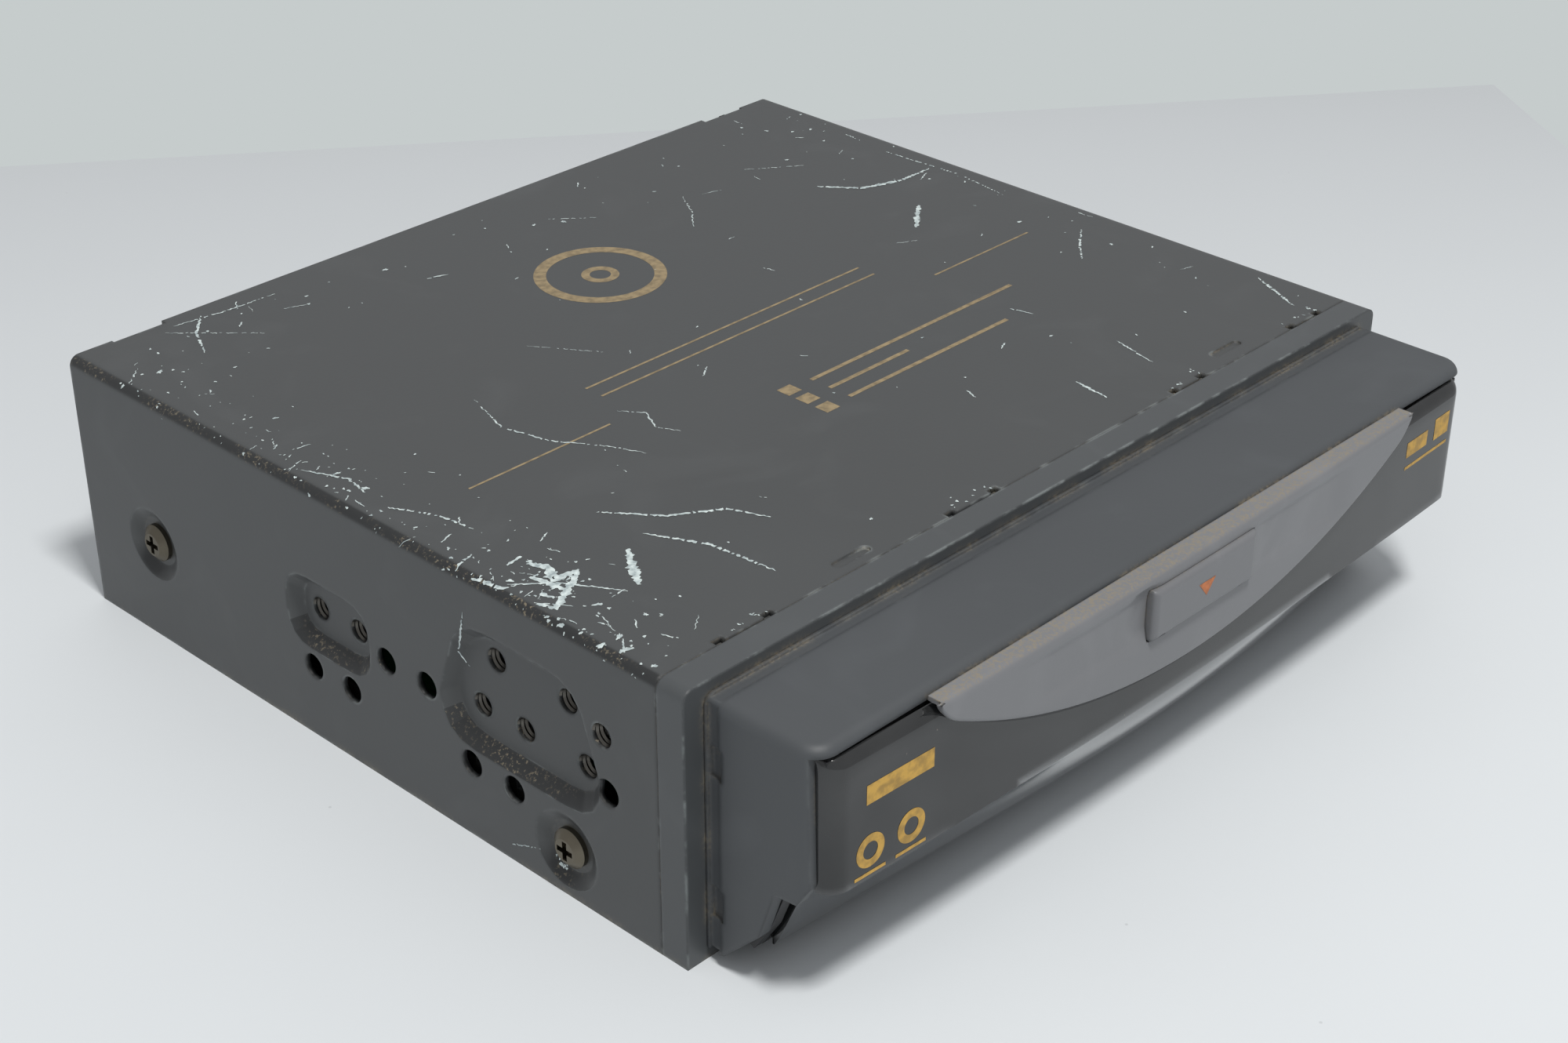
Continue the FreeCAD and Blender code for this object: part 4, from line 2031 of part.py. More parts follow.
def build():
    for make in (
        make_upper_casing, make_side_screws, make_lower_casing, make_front_collar,
        make_rear_panel, make_heat_sink, make_small_screws, make_antenna_socket, make_control_socket,
        make_audio_sockets, make_power_connector, make_blade_fuse,
        make_main_board, make_board_parts,
        make_mechanism_frame, make_suspension, make_traverse_plate, make_spindle, make_clamp, make_pickup,
        make_roller, make_disc_guide, make_servo_board,
        make_nose_shell, make_slot_bezel, make_front_controls,
        make_door_front, make_door_carrier, make_crescent, make_open_button, make_door_latch,
        make_display, make_damper,
    ):
        make()
    doc.recompute()


def check():
    """Stops if any object failed or any sub-part is empty or broken."""
    bad = [item.Name for item in doc.Objects if "Invalid" in item.State or "Error" in item.State]
    for item in nodes:
        if item.Shape.isNull() or not item.Shape.isValid() or not item.Shape.Solids:
            bad.append(item.Label)
    if bad:
        raise RuntimeError("these did not build: " + ", ".join(bad))


def write():
    os.makedirs("parts", exist_ok=True)
    for item in nodes:
        item.Shape.exportStep(f"parts/{item.Label}.step")
    print(f"{len(nodes)} sub-parts written")


build()
check()
write()
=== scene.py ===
import json
import math
import random

import bmesh
import bpy
from mathutils import Matrix, Vector


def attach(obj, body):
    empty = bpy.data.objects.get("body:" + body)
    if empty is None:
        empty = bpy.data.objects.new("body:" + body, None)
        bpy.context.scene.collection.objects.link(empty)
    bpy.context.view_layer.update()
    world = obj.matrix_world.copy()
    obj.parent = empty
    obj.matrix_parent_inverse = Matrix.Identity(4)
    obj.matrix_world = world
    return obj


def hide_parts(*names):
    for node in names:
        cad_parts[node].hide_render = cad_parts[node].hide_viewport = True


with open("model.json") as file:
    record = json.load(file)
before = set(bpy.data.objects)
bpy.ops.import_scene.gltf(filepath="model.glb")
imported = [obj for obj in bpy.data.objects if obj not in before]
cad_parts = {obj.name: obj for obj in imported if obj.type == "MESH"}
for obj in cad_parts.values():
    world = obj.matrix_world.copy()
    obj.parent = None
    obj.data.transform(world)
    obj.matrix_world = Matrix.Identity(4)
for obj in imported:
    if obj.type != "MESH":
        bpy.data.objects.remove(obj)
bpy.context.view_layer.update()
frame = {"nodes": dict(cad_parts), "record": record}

# Sizes are in millimetres, and mm() turns them into metres.
# A place behind the front face of the collar is given as a distance, as in the part's source.

COLLAR_Y = -68.25
CASE_HALF = 89.0
CASE_HEIGHT = 50.0
PRINT_LIFT = 0.04


def mm(value):
    return value / 1000


def point(x, back, z):
    """A place from its distance behind the collar's front face."""
    return Vector((mm(x), mm(COLLAR_Y + back), mm(z)))


# Material building blocks


def linear(level):
    level /= 255
    return level / 12.92 if level <= 0.04045 else ((level + 0.055) / 1.055) ** 2.4


def rgb(red, green, blue):
    """A colour as it looks on screen."""
    return (linear(red), linear(green), linear(blue), 1.0)


class Finish:
    """A material with one surface shader and small helpers for the patterns that drive it."""

    def __init__(self, name, color, roughness, metallic=0.0, coat=0.0):
        self.material = bpy.data.materials.new(name)
        self.material.use_nodes = True
        self.tree = self.material.node_tree
        self.shader = self.tree.nodes["Principled BSDF"]
        self.set("Base Color", color)
        self.set("Roughness", roughness)
        self.set("Metallic", metallic)
        self.set("Coat Weight", coat)
        self.set("Coat Roughness", 0.04)
        self.place = self.node("ShaderNodeTexCoord").outputs["Object"]

    def node(self, kind, **values):
        item = self.tree.nodes.new(kind)
        for name, value in values.items():
            setattr(item, name, value)
        return item

    def feed(self, socket, value):
        if isinstance(value, bpy.types.NodeSocket):
            self.tree.links.new(value, socket)
        else:
            socket.default_value = value

    def set(self, name, value):
        self.feed(self.shader.inputs[name], value)

    def scaled(self, factors):
        """The place stretched along each axis, for grain that runs one way."""
        item = self.node("ShaderNodeMapping")
        self.feed(item.inputs["Vector"], self.place)
        item.inputs["Scale"].default_value = factors
        return item.outputs["Vector"]

    def noise(self, scale, detail=3.0, roughness=0.5, where=None, distortion=0.0):
        item = self.node("ShaderNodeTexNoise")
        self.feed(item.inputs["Vector"], where or self.place)
        item.inputs["Scale"].default_value = scale
        item.inputs["Detail"].default_value = detail
        item.inputs["Roughness"].default_value = roughness
        item.inputs["Distortion"].default_value = distortion
        return item.outputs["Fac"]

    def cells(self, scale):
        """The distance to the middle of the nearest of many scattered cells."""
        item = self.node("ShaderNodeTexVoronoi")
        self.feed(item.inputs["Vector"], self.place)
        item.inputs["Scale"].default_value = scale
        return item.outputs["Distance"]

    def ramp(self, value, low, high, start=0.0, end=1.0):
        """Carries a span of values onto another, and holds it at both ends."""
        item = self.node("ShaderNodeMapRange")
        self.feed(item.inputs["Value"], value)
        for name, number in zip(("From Min", "From Max", "To Min", "To Max"), (low, high, start, end)):
            item.inputs[name].default_value = number
        return item.outputs["Result"]

    def math(self, operation, first, second):
        item = self.node("ShaderNodeMath", operation=operation)
        self.feed(item.inputs[0], first)
        self.feed(item.inputs[1], second)
        return item.outputs["Value"]

    def axis(self, letter):
        item = self.node("ShaderNodeSeparateXYZ")
        self.feed(item.inputs["Vector"], self.place)
        return item.outputs[letter]

    def facing(self, letter):
        """How far the surface looks along an axis."""
        item = self.node("ShaderNodeSeparateXYZ")
        self.feed(item.inputs["Vector"], self.node("ShaderNodeNewGeometry").outputs["Normal"])
        return item.outputs[letter]

    def blend(self, share, first, second):
        item = self.node("ShaderNodeMix", data_type="RGBA")
        self.feed(item.inputs[0], share)
        self.feed(item.inputs[6], first)
        self.feed(item.inputs[7], second)
        return item.outputs[2]

    def bump(self, height, distance, strength=1.0, under=None):
        """Relief on top of the given normals, or of the surface's own."""
        item = self.node("ShaderNodeBump")
        self.feed(item.inputs["Height"], height)
        item.inputs["Distance"].default_value = distance
        item.inputs["Strength"].default_value = strength
        if under is not None:
            self.feed(item.inputs["Normal"], under)
        self.set("Normal", item.outputs["Normal"])

    def rounded(self, radius):
        """Normals that turn smoothly round the edges within a radius."""
        item = self.node("ShaderNodeBevel", samples=6)
        item.inputs["Radius"].default_value = radius
        return item.outputs["Normal"]

    def edges(self, radius):
        """1 next to an edge and 0 on flat ground."""
        item = self.node("ShaderNodeVectorMath", operation="DOT_PRODUCT")
        self.feed(item.inputs[0], self.rounded(radius))
        self.feed(item.inputs[1], self.node("ShaderNodeNewGeometry").outputs["Normal"])
        return self.ramp(item.outputs["Value"], 0.99, 0.86)

    def hollows(self, distance):
        """1 in corners and seams, and 0 on open ground."""
        item = self.node("ShaderNodeAmbientOcclusion", samples=6)
        item.inputs["Distance"].default_value = distance
        return self.ramp(item.outputs["AO"], 0.25, 0.85, 1.0, 0.0)


def toned(color, share, more=0.0):
    """A colour made darker or lighter, up to white."""
    return tuple(min(1.0, level * share + more) for level in color[:3]) + (1.0,)


DUST = rgb(150, 138, 116)


def paint(name, color, roughness, grain=0.00002, soft=0.0005, wear=0.0, dust=0.0, ledge=None, slope_shade_and_dust=False):
    """Satin paint with a fine orange peel, cloudy dirt, worn edges and dust in its hollows.

    Dust may lie above a ledge's height, and slopes that look up may get painted shade, nearly black, and
    dust.
    """
    made = Finish(name, color, roughness)
    cloudy = made.noise(14.0, 5.0)
    fine = made.noise(1100.0, 2.0)
    base = made.blend(made.ramp(cloudy, 0.3, 0.7), toned(color, 0.86), color)
    smudges = made.ramp(made.noise(45.0, 6.0, distortion=1.2), 0.55, 0.75, 0.0, 0.35)
    base = made.blend(smudges, base, toned(color, 1.28))
    if wear:
        patchy = made.ramp(made.noise(230.0, 5.0), 0.5, 0.62)
        worn = made.math("MULTIPLY", made.edges(0.0009), made.math("MULTIPLY", patchy, wear))
        base = made.blend(worn, base, rgb(168, 176, 176))
    if dust:
        grains = made.ramp(made.noise(1500.0, 4.0), 0.44, 0.6, 0.25, 1.0)
        cover = made.math("MULTIPLY", made.hollows(0.0022), made.ramp(made.noise(120.0, 5.0), 0.4, 0.62))
        base = made.blend(made.math("MULTIPLY", made.math("MULTIPLY", cover, grains), dust), base, DUST)
    if ledge:
        speckled = made.ramp(made.noise(1700.0, 5.0, roughness=0.75), 0.46, 0.58)
        lying = made.math("MULTIPLY", made.ramp(made.axis("Z"), ledge - 0.0002, ledge + 0.0002), speckled)
        base = made.blend(made.math("MULTIPLY", lying, 0.7), base, toned(DUST, 0.8))
    if slope_shade_and_dust:
        up = made.facing("Z")
        tilt = made.math("MULTIPLY", made.ramp(up, 0.12, 0.4), made.ramp(up, 0.99, 0.93))
        # Painted shade: slopes that look up, between flat tops and sides, are darkened nearly to black by the
        # way they face.
        base = made.blend(made.math("MULTIPLY", tilt, 0.75), base, rgb(24, 25, 26))
        caught = made.math("MULTIPLY", tilt, made.ramp(made.noise(1500.0, 5.0, roughness=0.7), 0.56, 0.62))
        patches = made.ramp(made.noise(90.0, 3.0), 0.45, 0.6, 0.0, 0.6)
        base = made.blend(made.math("MULTIPLY", caught, patches), base, DUST)
    made.set("Base Color", base)
    made.set("Roughness", made.ramp(cloudy, 0.3, 0.7, roughness - 0.05, roughness + 0.07))
    made.bump(fine, grain, 0.5, made.rounded(soft))
    return made


def metal(name, color, roughness, stretch=(1.0, 1.0, 1.0), scale=300.0):
    """Bare or plated metal with a fine grain that may run one way."""
    made = Finish(name, color, roughness, metallic=1.0)
    grain = made.noise(scale, 4.0, where=made.scaled(stretch))
    stain = made.noise(30.0, 4.0)
    made.set("Base Color", made.blend(made.ramp(stain, 0.35, 0.7), color, toned(color, 0.7)))
    made.set("Roughness", made.ramp(grain, 0.3, 0.7, roughness - 0.08, roughness + 0.1))
    made.bump(grain, 0.00001, 0.5)
    return made


def moulded(name, color, roughness, grain=0.00002, scale=1400.0):
    """Moulded plastic with a fine spark-eroded skin and faint flow marks."""
    made = Finish(name, color, roughness)
    flow = made.noise(22.0, 3.0)
    made.set("Base Color", made.blend(made.ramp(flow, 0.3, 0.7), color, toned(color, 1.25)))
    made.set("Roughness", made.ramp(flow, 0.3, 0.7, roughness - 0.04, roughness + 0.06))
    made.bump(made.cells(scale), grain, 0.7)
    return made


def circuit_board(name, color):
    """Green lacquer over tracks that run at right angles."""
    made = Finish(name, color, 0.28, coat=0.4)
    tracks = made.ramp(made.noise(260.0, 0.0, where=made.scaled((1.0, 0.12, 1.0))), 0.5, 0.52)
    pads = made.ramp(made.cells(420.0), 0.1, 0.14, 1.0, 0.0)
    green = made.blend(tracks, color, toned(color, 1.9, 0.01))
    made.set("Base Color", made.blend(pads, green, rgb(176, 178, 170)))
    made.bump(tracks, 0.00003, 0.5)
    return made


def rubber(name, color):
    """Dull rubber with fine pores and grey bloom."""
    made = Finish(name, color, 0.75)
    pores = made.noise(700.0, 4.0)
    made.set("Base Color", made.blend(made.ramp(pores, 0.4, 0.7), color, toned(color, 1.6)))
    made.bump(pores, 0.00003, 0.6)
    return made


def felt(name, color):
    """Matted fibres that lie mostly one way."""
    made = Finish(name, color, 0.95)
    hairs = made.noise(2600.0, 5.0, where=made.scaled((0.25, 1.0, 1.0)))
    made.set("Base Color", made.blend(made.ramp(hairs, 0.35, 0.7), color, toned(color, 2.2)))
    made.set("Sheen Weight", 0.4)
    made.bump(hairs, 0.00008, 0.8)
    return made


def piano_black(name):
    """Polished black lacquer with hairline rub marks, smears and fine dust specks."""
    made = Finish(name, rgb(24, 25, 26), 0.1)
    made.set("IOR", 1.6)
    rubs = made.noise(420.0, 6.0, where=made.scaled((0.12, 1.0, 1.0)))
    specks = made.ramp(made.cells(650.0), 0.05, 0.1, 1.0, 0.0)
    rare = made.math("MULTIPLY", specks, made.ramp(made.noise(55.0, 3.0), 0.6, 0.7))
    haze = made.ramp(made.noise(24.0, 6.0, distortion=0.8), 0.4, 0.75, 0.0, 0.4)
    base = made.blend(haze, rgb(24, 25, 26), rgb(72, 73, 74))
    # Painted reflection: faces that look down turn pale grey and metallic, so the chin shines like the
    # floor's glare on it.
    under = made.ramp(made.facing("Z"), -0.04, -0.45, 0.0, 0.8)
    made.set("Base Color", made.blend(under, made.blend(rare, base, rgb(128, 120, 106)), rgb(150, 152, 154)))
    made.set("Metallic", under)
    made.set("Roughness", made.ramp(rubs, 0.35, 0.75, 0.06, 0.16))
    made.bump(rubs, 0.000003, 0.3)
    return made


def dark_glass(name, color):
    """A dark window over the faint lines of a display."""
    made = Finish(name, color, 0.12, coat=0.6)
    lines = made.ramp(made.noise(3000.0, 0.0, where=made.scaled((1.0, 1.0, 0.02))), 0.45, 0.55)
    made.set("Base Color", made.blend(lines, color, toned(color, 1.5, 0.002)))
    return made


def lens_glass(name):
    """Clear glass with slight smears."""
    made = Finish(name, rgb(205, 215, 235), 0.03)
    made.set("Transmission Weight", 0.8)
    made.set("Roughness", made.ramp(made.noise(400.0, 2.0), 0.4, 0.7, 0.02, 0.06))
    return made


def gold_print(name, color):
    """Screen-printed ink, slightly thin in places."""
    made = Finish(name, color, 0.5)
    thin = made.noise(700.0, 5.0)
    made.set("Base Color", made.blend(made.ramp(thin, 0.35, 0.6), toned(color, 0.6), color))
    made.set("Roughness", made.ramp(thin, 0.3, 0.7, 0.45, 0.6))
    return made


def bare_patch(name):
    """Pale primer and bare metal where the paint has chipped off."""
    made = Finish(name, rgb(196, 208, 208), 0.5)
    mottled = made.noise(900.0, 5.0)
    made.set("Base Color", made.blend(made.ramp(mottled, 0.35, 0.65), rgb(150, 162, 164), rgb(210, 221, 220)))
    made.set("Roughness", made.ramp(mottled, 0.3, 0.7, 0.4, 0.65))
    made.bump(mottled, 0.00003, 0.5)
    return made


def all_finishes():
    """One material for each material slot of the record, some of which the scene's own pieces use as well."""
    return {
        "cover_paint": paint("cover_paint", rgb(70, 72, 73), 0.4, soft=0.0011, wear=0.4, dust=0.6,
                             slope_shade_and_dust=True),
        "zinc_sheet": metal("zinc_sheet", rgb(176, 178, 176), 0.38),
        "collar_paint": paint("collar_paint", rgb(74, 77, 79), 0.38, soft=0.0007, wear=0.45, dust=0.9),
        "screw_nickel": metal("screw_nickel", rgb(112, 106, 94), 0.42),
        "sink_black": metal("sink_black", rgb(40, 40, 42), 0.5, stretch=(1.0, 1.0, 0.1)),
        "socket_plastic": moulded("socket_plastic", rgb(30, 30, 32), 0.5),
        "socket_metal": metal("socket_metal", rgb(196, 196, 192), 0.22),
        "contact_gold": metal("contact_gold", rgb(214, 176, 92), 0.25),
        "fuse_plastic": moulded("fuse_plastic", rgb(170, 60, 40), 0.35),
        "circuit_board": circuit_board("circuit_board", rgb(22, 92, 52)),
        "chip_black": moulded("chip_black", rgb(28, 28, 30), 0.6),
        "can_sleeve": moulded("can_sleeve", rgb(30, 40, 78), 0.3),
        "deck_steel": metal("deck_steel", rgb(184, 185, 182), 0.34),
        "soft_rubber": rubber("soft_rubber", rgb(38, 38, 38)),
        "spring_steel": metal("spring_steel", rgb(170, 170, 168), 0.28),
        "motor_can": metal("motor_can", rgb(172, 174, 176), 0.3),
        "bright_steel": metal("bright_steel", rgb(200, 200, 202), 0.16),
        "white_plastic": moulded("white_plastic", rgb(208, 207, 200), 0.45),
        "black_plastic": moulded("black_plastic", rgb(34, 34, 36), 0.48),
        "lens_clear": lens_glass("lens_clear"),
        "ribbon_white": moulded("ribbon_white", rgb(206, 209, 212), 0.45, scale=300.0),
        "nose_paint": paint("nose_paint", rgb(72, 75, 78), 0.5, grain=0.00004, soft=0.0012, wear=0.1,
                            dust=0.9),
        "felt_black": felt("felt_black", rgb(26, 26, 26)),
        "door_gloss": piano_black("door_gloss"),
        "trim_silver": paint("trim_silver", rgb(119, 120, 123), 0.34, soft=0.0003, dust=0.9, ledge=mm(47.0)),
        "button_grey": paint("button_grey", rgb(116, 117, 120), 0.36, soft=0.0007, wear=0.15, dust=0.6),
        "display_glass": dark_glass("display_glass", rgb(22, 25, 28)),
    }


finishes = all_finishes()
slots = {row["node"]: row["material_slot"] for row in frame["record"]["subparts"]}


def dress(item, finish):
    item.data.materials.clear()
    item.data.materials.append(finish.material)


for node_name, node_object in frame["nodes"].items():
    dress(node_object, finishes[slots[node_name]])


# Pieces


def piece(name, bm, body, finish, smooth_below=40.0):
    """A finished mesh that rides on a body."""
    bmesh.ops.recalc_face_normals(bm, faces=bm.faces)
    mesh = bpy.data.meshes.new(name)
    bm.to_mesh(mesh)
    bm.free()
    item = bpy.data.objects.new(name, mesh)
    bpy.context.scene.collection.objects.link(item)
    mesh.materials.append(finish.material)
    mesh.shade_smooth()
    mesh.set_sharp_from_angle(angle=math.radians(smooth_below))
    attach(item, body)
    return item


def apply(item, kind, **values):
    """Adds a modifier, keeps its result and removes it."""
    modifier = item.modifiers.new(kind, kind)
    for name, value in values.items():
        setattr(modifier, name, value)
    graph = bpy.context.evaluated_depsgraph_get()
    mesh = bpy.data.meshes.new_from_object(item.evaluated_get(graph))
    item.modifiers.clear()
    old = item.data
    item.data = mesh
    bpy.data.meshes.remove(old)
    mesh.shade_smooth()
    mesh.set_sharp_from_angle(angle=math.radians(40))


def grid(bm, columns, rows, place, keep=None):
    """A sheet of faces over two lists of values."""
    points = [[bm.verts.new(place(u, v)) for v in rows] for u in columns]
    for i in range(len(columns) - 1):
        for j in range(len(rows) - 1):
            middle = ((columns[i] + columns[i + 1]) / 2, (rows[j] + rows[j + 1]) / 2)
            if keep is None or keep(*middle):
                bm.faces.new((points[i][j], points[i + 1][j], points[i + 1][j + 1], points[i][j + 1]))
    return points


def steps(low, high, count):
    return [low + (high - low) * i / count for i in range(count + 1)]


# Door front

PANEL_HALF = 83.0
PANEL_FRONT = 25.3
PANEL_BOW = 1.9
PANEL_THICK = 1.5
PANEL_LOW = 22.5
PANEL_HIGH = 45.8
PANEL_TURN = 3.6
PANEL_TOP_TURN = 2.4
BUTTON_HALF = 13.5
BUTTON_LOW = 36.0
BUTTON_HIGH = 45.0
BUTTON_GAP = 0.3
BUTTON_FRONT = 27.5
CHIN_HALF = 79.2
CHIN_TAIL = 8.2
CHIN_END = ((21.8, 22.5), (13.5, 21.5), (12.5, 10.0), (8.6, 4.2))
CHIN_MIDDLE = ((24.8, 22.5), (23.6, 16.5), (19.0, 9.5), (11.6, 4.2))
PANEL_RADIUS = (PANEL_HALF ** 2 + PANEL_BOW ** 2) / (2 * PANEL_BOW)


def panel_front(x):
    """How far the gloss panel stands in front of the collar at this place."""
    return PANEL_FRONT - (PANEL_RADIUS - math.sqrt(PANEL_RADIUS ** 2 - x * x))


def turned_back(distance, radius):
    """How far a rounded edge falls back at a distance before its end."""
    inside = max(0.0, min(radius, radius - distance))
    return radius - math.sqrt(radius ** 2 - inside ** 2)


def skin_front(x, z):
    """The panel's front with its ends and its top edge turned back."""
    back = turned_back(PANEL_HALF - abs(x), PANEL_TURN) + turned_back(PANEL_HIGH - z, PANEL_TOP_TURN)
    return panel_front(x) - min(back, PANEL_TURN)


def in_button_hole(x, z):
    gap = BUTTON_GAP
    return abs(x) < BUTTON_HALF + gap and BUTTON_LOW - gap < z < BUTTON_HIGH + gap


def blend(first, second, share):
    return tuple(a + (b - a) * share for a, b in zip(first, second))


def curve(pulls, share):
    """A point of the Bezier curve through four control points."""
    while len(pulls) > 1:
        pulls = [blend(a, b, share) for a, b in zip(pulls, pulls[1:])]
    return pulls[0]


def chin_place(x, share):
    """A point of the chin: shares up to 1 run down its curve, and those above it run back under it."""
    side = min(1.0, (x / CHIN_HALF) ** 2)
    pulls = [blend(m, e, side) for m, e in zip(CHIN_MIDDLE, CHIN_END)]
    pulls[0] = (skin_front(x, PANEL_LOW), PANEL_LOW)
    if share <= 1:
        reach, z = curve(pulls, share)
    else:
        foot = pulls[-1]
        reach, z = foot[0] + (CHIN_TAIL - foot[0]) * (share - 1), foot[1]
    return point(x, -reach, z)


def door_place(x, along):
    """A point of the gloss skin: below 0 on the panel, by its height above the chin, then on the chin."""
    if along > 0:
        return chin_place(x, along)
    return point(x, -skin_front(x, PANEL_LOW - along), PANEL_LOW - along)


def in_door_skin(x, along):
    if along > 0:
        return abs(x) < CHIN_HALF
    return not in_button_hole(x, PANEL_LOW - along)


def make_door_skin():
    hole_x = BUTTON_HALF + BUTTON_GAP
    hole_z = [PANEL_LOW - BUTTON_HIGH - BUTTON_GAP, PANEL_LOW - BUTTON_LOW + BUTTON_GAP]
    ends = [PANEL_HALF - PANEL_TURN * share for share in (0.01, 0.05, 0.12, 0.22, 0.35, 0.5, 0.7, 0.85)]
    columns = sorted(steps(-CHIN_HALF, CHIN_HALF, 88) + [-hole_x, hole_x] + ends + [-x for x in ends])
    top = [PANEL_LOW - PANEL_HIGH + PANEL_TOP_TURN * share for share in (0.04, 0.12, 0.25, 0.42, 0.65)]
    flat = steps(PANEL_LOW - PANEL_HIGH + PANEL_TOP_TURN, 0, 12)
    chin = steps(0, 1, 28)[1:] + [1.5, 2.0]
    rows = sorted(flat + top + hole_z + chin)
    bm = bmesh.new()
    grid(bm, columns, rows, door_place, in_door_skin)
    skin = piece("door_skin", bm, "door", finishes["door_gloss"])
    apply(skin, "SOLIDIFY", thickness=mm(PANEL_THICK), offset=-1 if faces_forward(skin) else 1)
    apply(skin, "BEVEL", width=mm(0.4), segments=3, limit_method="ANGLE", angle_limit=math.radians(60))
    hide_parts("door_front")


def faces_forward(item):
    """Whether the sheet's faces look to the front."""
    return sum(face.normal.y * face.area for face in item.data.polygons) < 0


# Crescent trim

CRESCENT_HALF = 62.0
CRESCENT_TOP = 47.3
CRESCENT_DIP = 28.1
CRESCENT_RADIUS = 127.3
CRESCENT_PROUD = 1.2
CRESCENT_TIP = 3.4
LEDGE_REAR = 22.6
EDGE_ROUND = 1.1
LOW_ROUND = 0.7
SCOOP_DEPTH = 0.75
SCOOP_INNER = 14.5
SCOOP_OUTER = 44.0
SCOOP_LOW = 35.2
SCOOP_HIGH = 45.4
ROUND_SCOOP = (-15.2, 41.0)


def crescent_edge(x):
    """Height of the crescent's lower edge, which rounds up at both tips."""
    arc = CRESCENT_DIP + CRESCENT_RADIUS - math.sqrt(CRESCENT_RADIUS ** 2 - x * x)
    t = max(0.0, (abs(x) - CRESCENT_HALF + CRESCENT_TIP) / CRESCENT_TIP)
    return arc + (CRESCENT_TOP - 0.6 - arc) * (1 - (1 - t ** 2) ** 0.5)


def smooth(value):
    value = max(0.0, min(1.0, value))
    return value * value * (3 - 2 * value)


def scoop(x, z):
    """Depth of the finger hollows beside the button: wide shallow ones, and a round one at its left."""
    across = smooth((abs(x) - SCOOP_INNER) / 3) * smooth((SCOOP_OUTER - abs(x)) / 7)
    wide = across * smooth((z - SCOOP_LOW) / 2.5) * smooth((SCOOP_HIGH - z) / 1.2)
    near = smooth(1.6 - math.hypot((x - ROUND_SCOOP[0]) / 3.4, (z - ROUND_SCOOP[1]) / 4.2))
    return SCOOP_DEPTH * max(wide * 0.55, near)


def crescent_profile(x):
    """Distances in front of the collar and heights, from the ledge over the front to the lower edge."""
    low = crescent_edge(x)
    front = panel_front(x) + CRESCENT_PROUD
    height = CRESCENT_TOP - low
    turn = min(EDGE_ROUND, height * 0.6)
    foot = min(LOW_ROUND, height * 0.3)
    line = [(LEDGE_REAR + (front - turn - LEDGE_REAR) * share, CRESCENT_TOP) for share in (0, 0.3, 0.6, 0.9)]
    for angle in steps(0, math.pi / 2, 6):
        line.append((front - turn + turn * math.sin(angle), CRESCENT_TOP - turn + turn * math.cos(angle)))
    for share in steps(0, 1, 30)[1:-1]:
        z = CRESCENT_TOP - turn - (height - turn - foot) * share
        line.append((front - scoop(x, z), z))
    for angle in steps(0, math.pi / 2, 4):
        line.append((front - foot + foot * math.cos(angle), low + foot - foot * math.sin(angle)))
    line.append((panel_front(x) + 0.02, low + foot * 0.2))
    return line


def make_crescent():
    edge = BUTTON_HALF + BUTTON_GAP
    tips = [CRESCENT_HALF - offset for offset in (0, 0.03, 0.12, 0.3, 0.6, 1.0, 1.6, 2.4, 3.4)]
    columns = sorted(steps(-57.5, 57.5, 76) + [-edge, edge] + tips + [-tip for tip in tips])
    profiles = {x: crescent_profile(x) for x in columns}
    count = len(profiles[columns[0]])

    def keep(x, row):
        column = min(columns, key=lambda place: abs(place - x))
        z = (profiles[column][int(row - 0.5)][1] + profiles[column][int(row + 0.5)][1]) / 2
        return not in_button_hole(x, z)

    def place(x, row):
        reach, z = profiles[x][int(row)]
        return point(x, -reach, z)

    bm = bmesh.new()
    grid(bm, columns, [float(i) for i in range(count)], place, keep)
    trim = piece("crescent_face", bm, "door", finishes["trim_silver"])
    apply(trim, "SOLIDIFY", thickness=mm(0.8), offset=-1 if faces_forward(trim) else 1)
    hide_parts("crescent_trim")


SHADOW_STRIP_WIDTH = 1.1


def make_crescent_shadow_strip():
    """A black strip on the panel along the crescent's lower edge: a painted shadow under the proud crescent.
    """
    bm = bmesh.new()

    def place(x, share):
        width = SHADOW_STRIP_WIDTH * (1 - (abs(x) / CRESCENT_HALF) ** 4)
        return point(x, -panel_front(x) - PRINT_LIFT * (2 - share), crescent_edge(x) + 0.1 - width * share)

    grid(bm, steps(-CRESCENT_HALF + 3.6, CRESCENT_HALF - 3.6, 90), [0.0, 0.5, 1.0], place)
    shadow_strip = piece("crescent_shadow_strip", bm, "door", finishes["black_plastic"])


# Marks on the paint

MARK_SEED = 7
BEND = 2.0
CASE_FRONT = 6.8
# Middle and half length of the slits at the front edge of the top, where the paint is worn.
SLIT_SPANS = ((-70.25, 6), (-18.0, 6), (39.95, 5), (75.4, 5))


def cover_skin(across, back, lift=PRINT_LIFT):
    """A point on the cover. Across runs over the top from its middle, round the bend and down the side."""
    side = 1 if across > 0 else -1
    flat = CASE_HALF - BEND
    over = abs(across) - flat
    arc = BEND * math.pi / 2
    if over <= 0:
        spot, normal = (across, CASE_HEIGHT), Vector((0, 0, 1))
    elif over < arc:
        angle = over / BEND
        normal = Vector((side * math.sin(angle), 0, math.cos(angle)))
        spot = (side * (flat + BEND * math.sin(angle)), CASE_HEIGHT - BEND + BEND * math.cos(angle))
    else:
        spot, normal = (side * CASE_HALF, CASE_HEIGHT - BEND - (over - arc)), Vector((side, 0, 0))
    return point(spot[0], back, spot[1]) + normal * mm(lift)


def side_across(z):
    """The across value of a height on the left side."""
    return -(CASE_HALF - BEND + BEND * math.pi / 2 + CASE_HEIGHT - BEND - z)


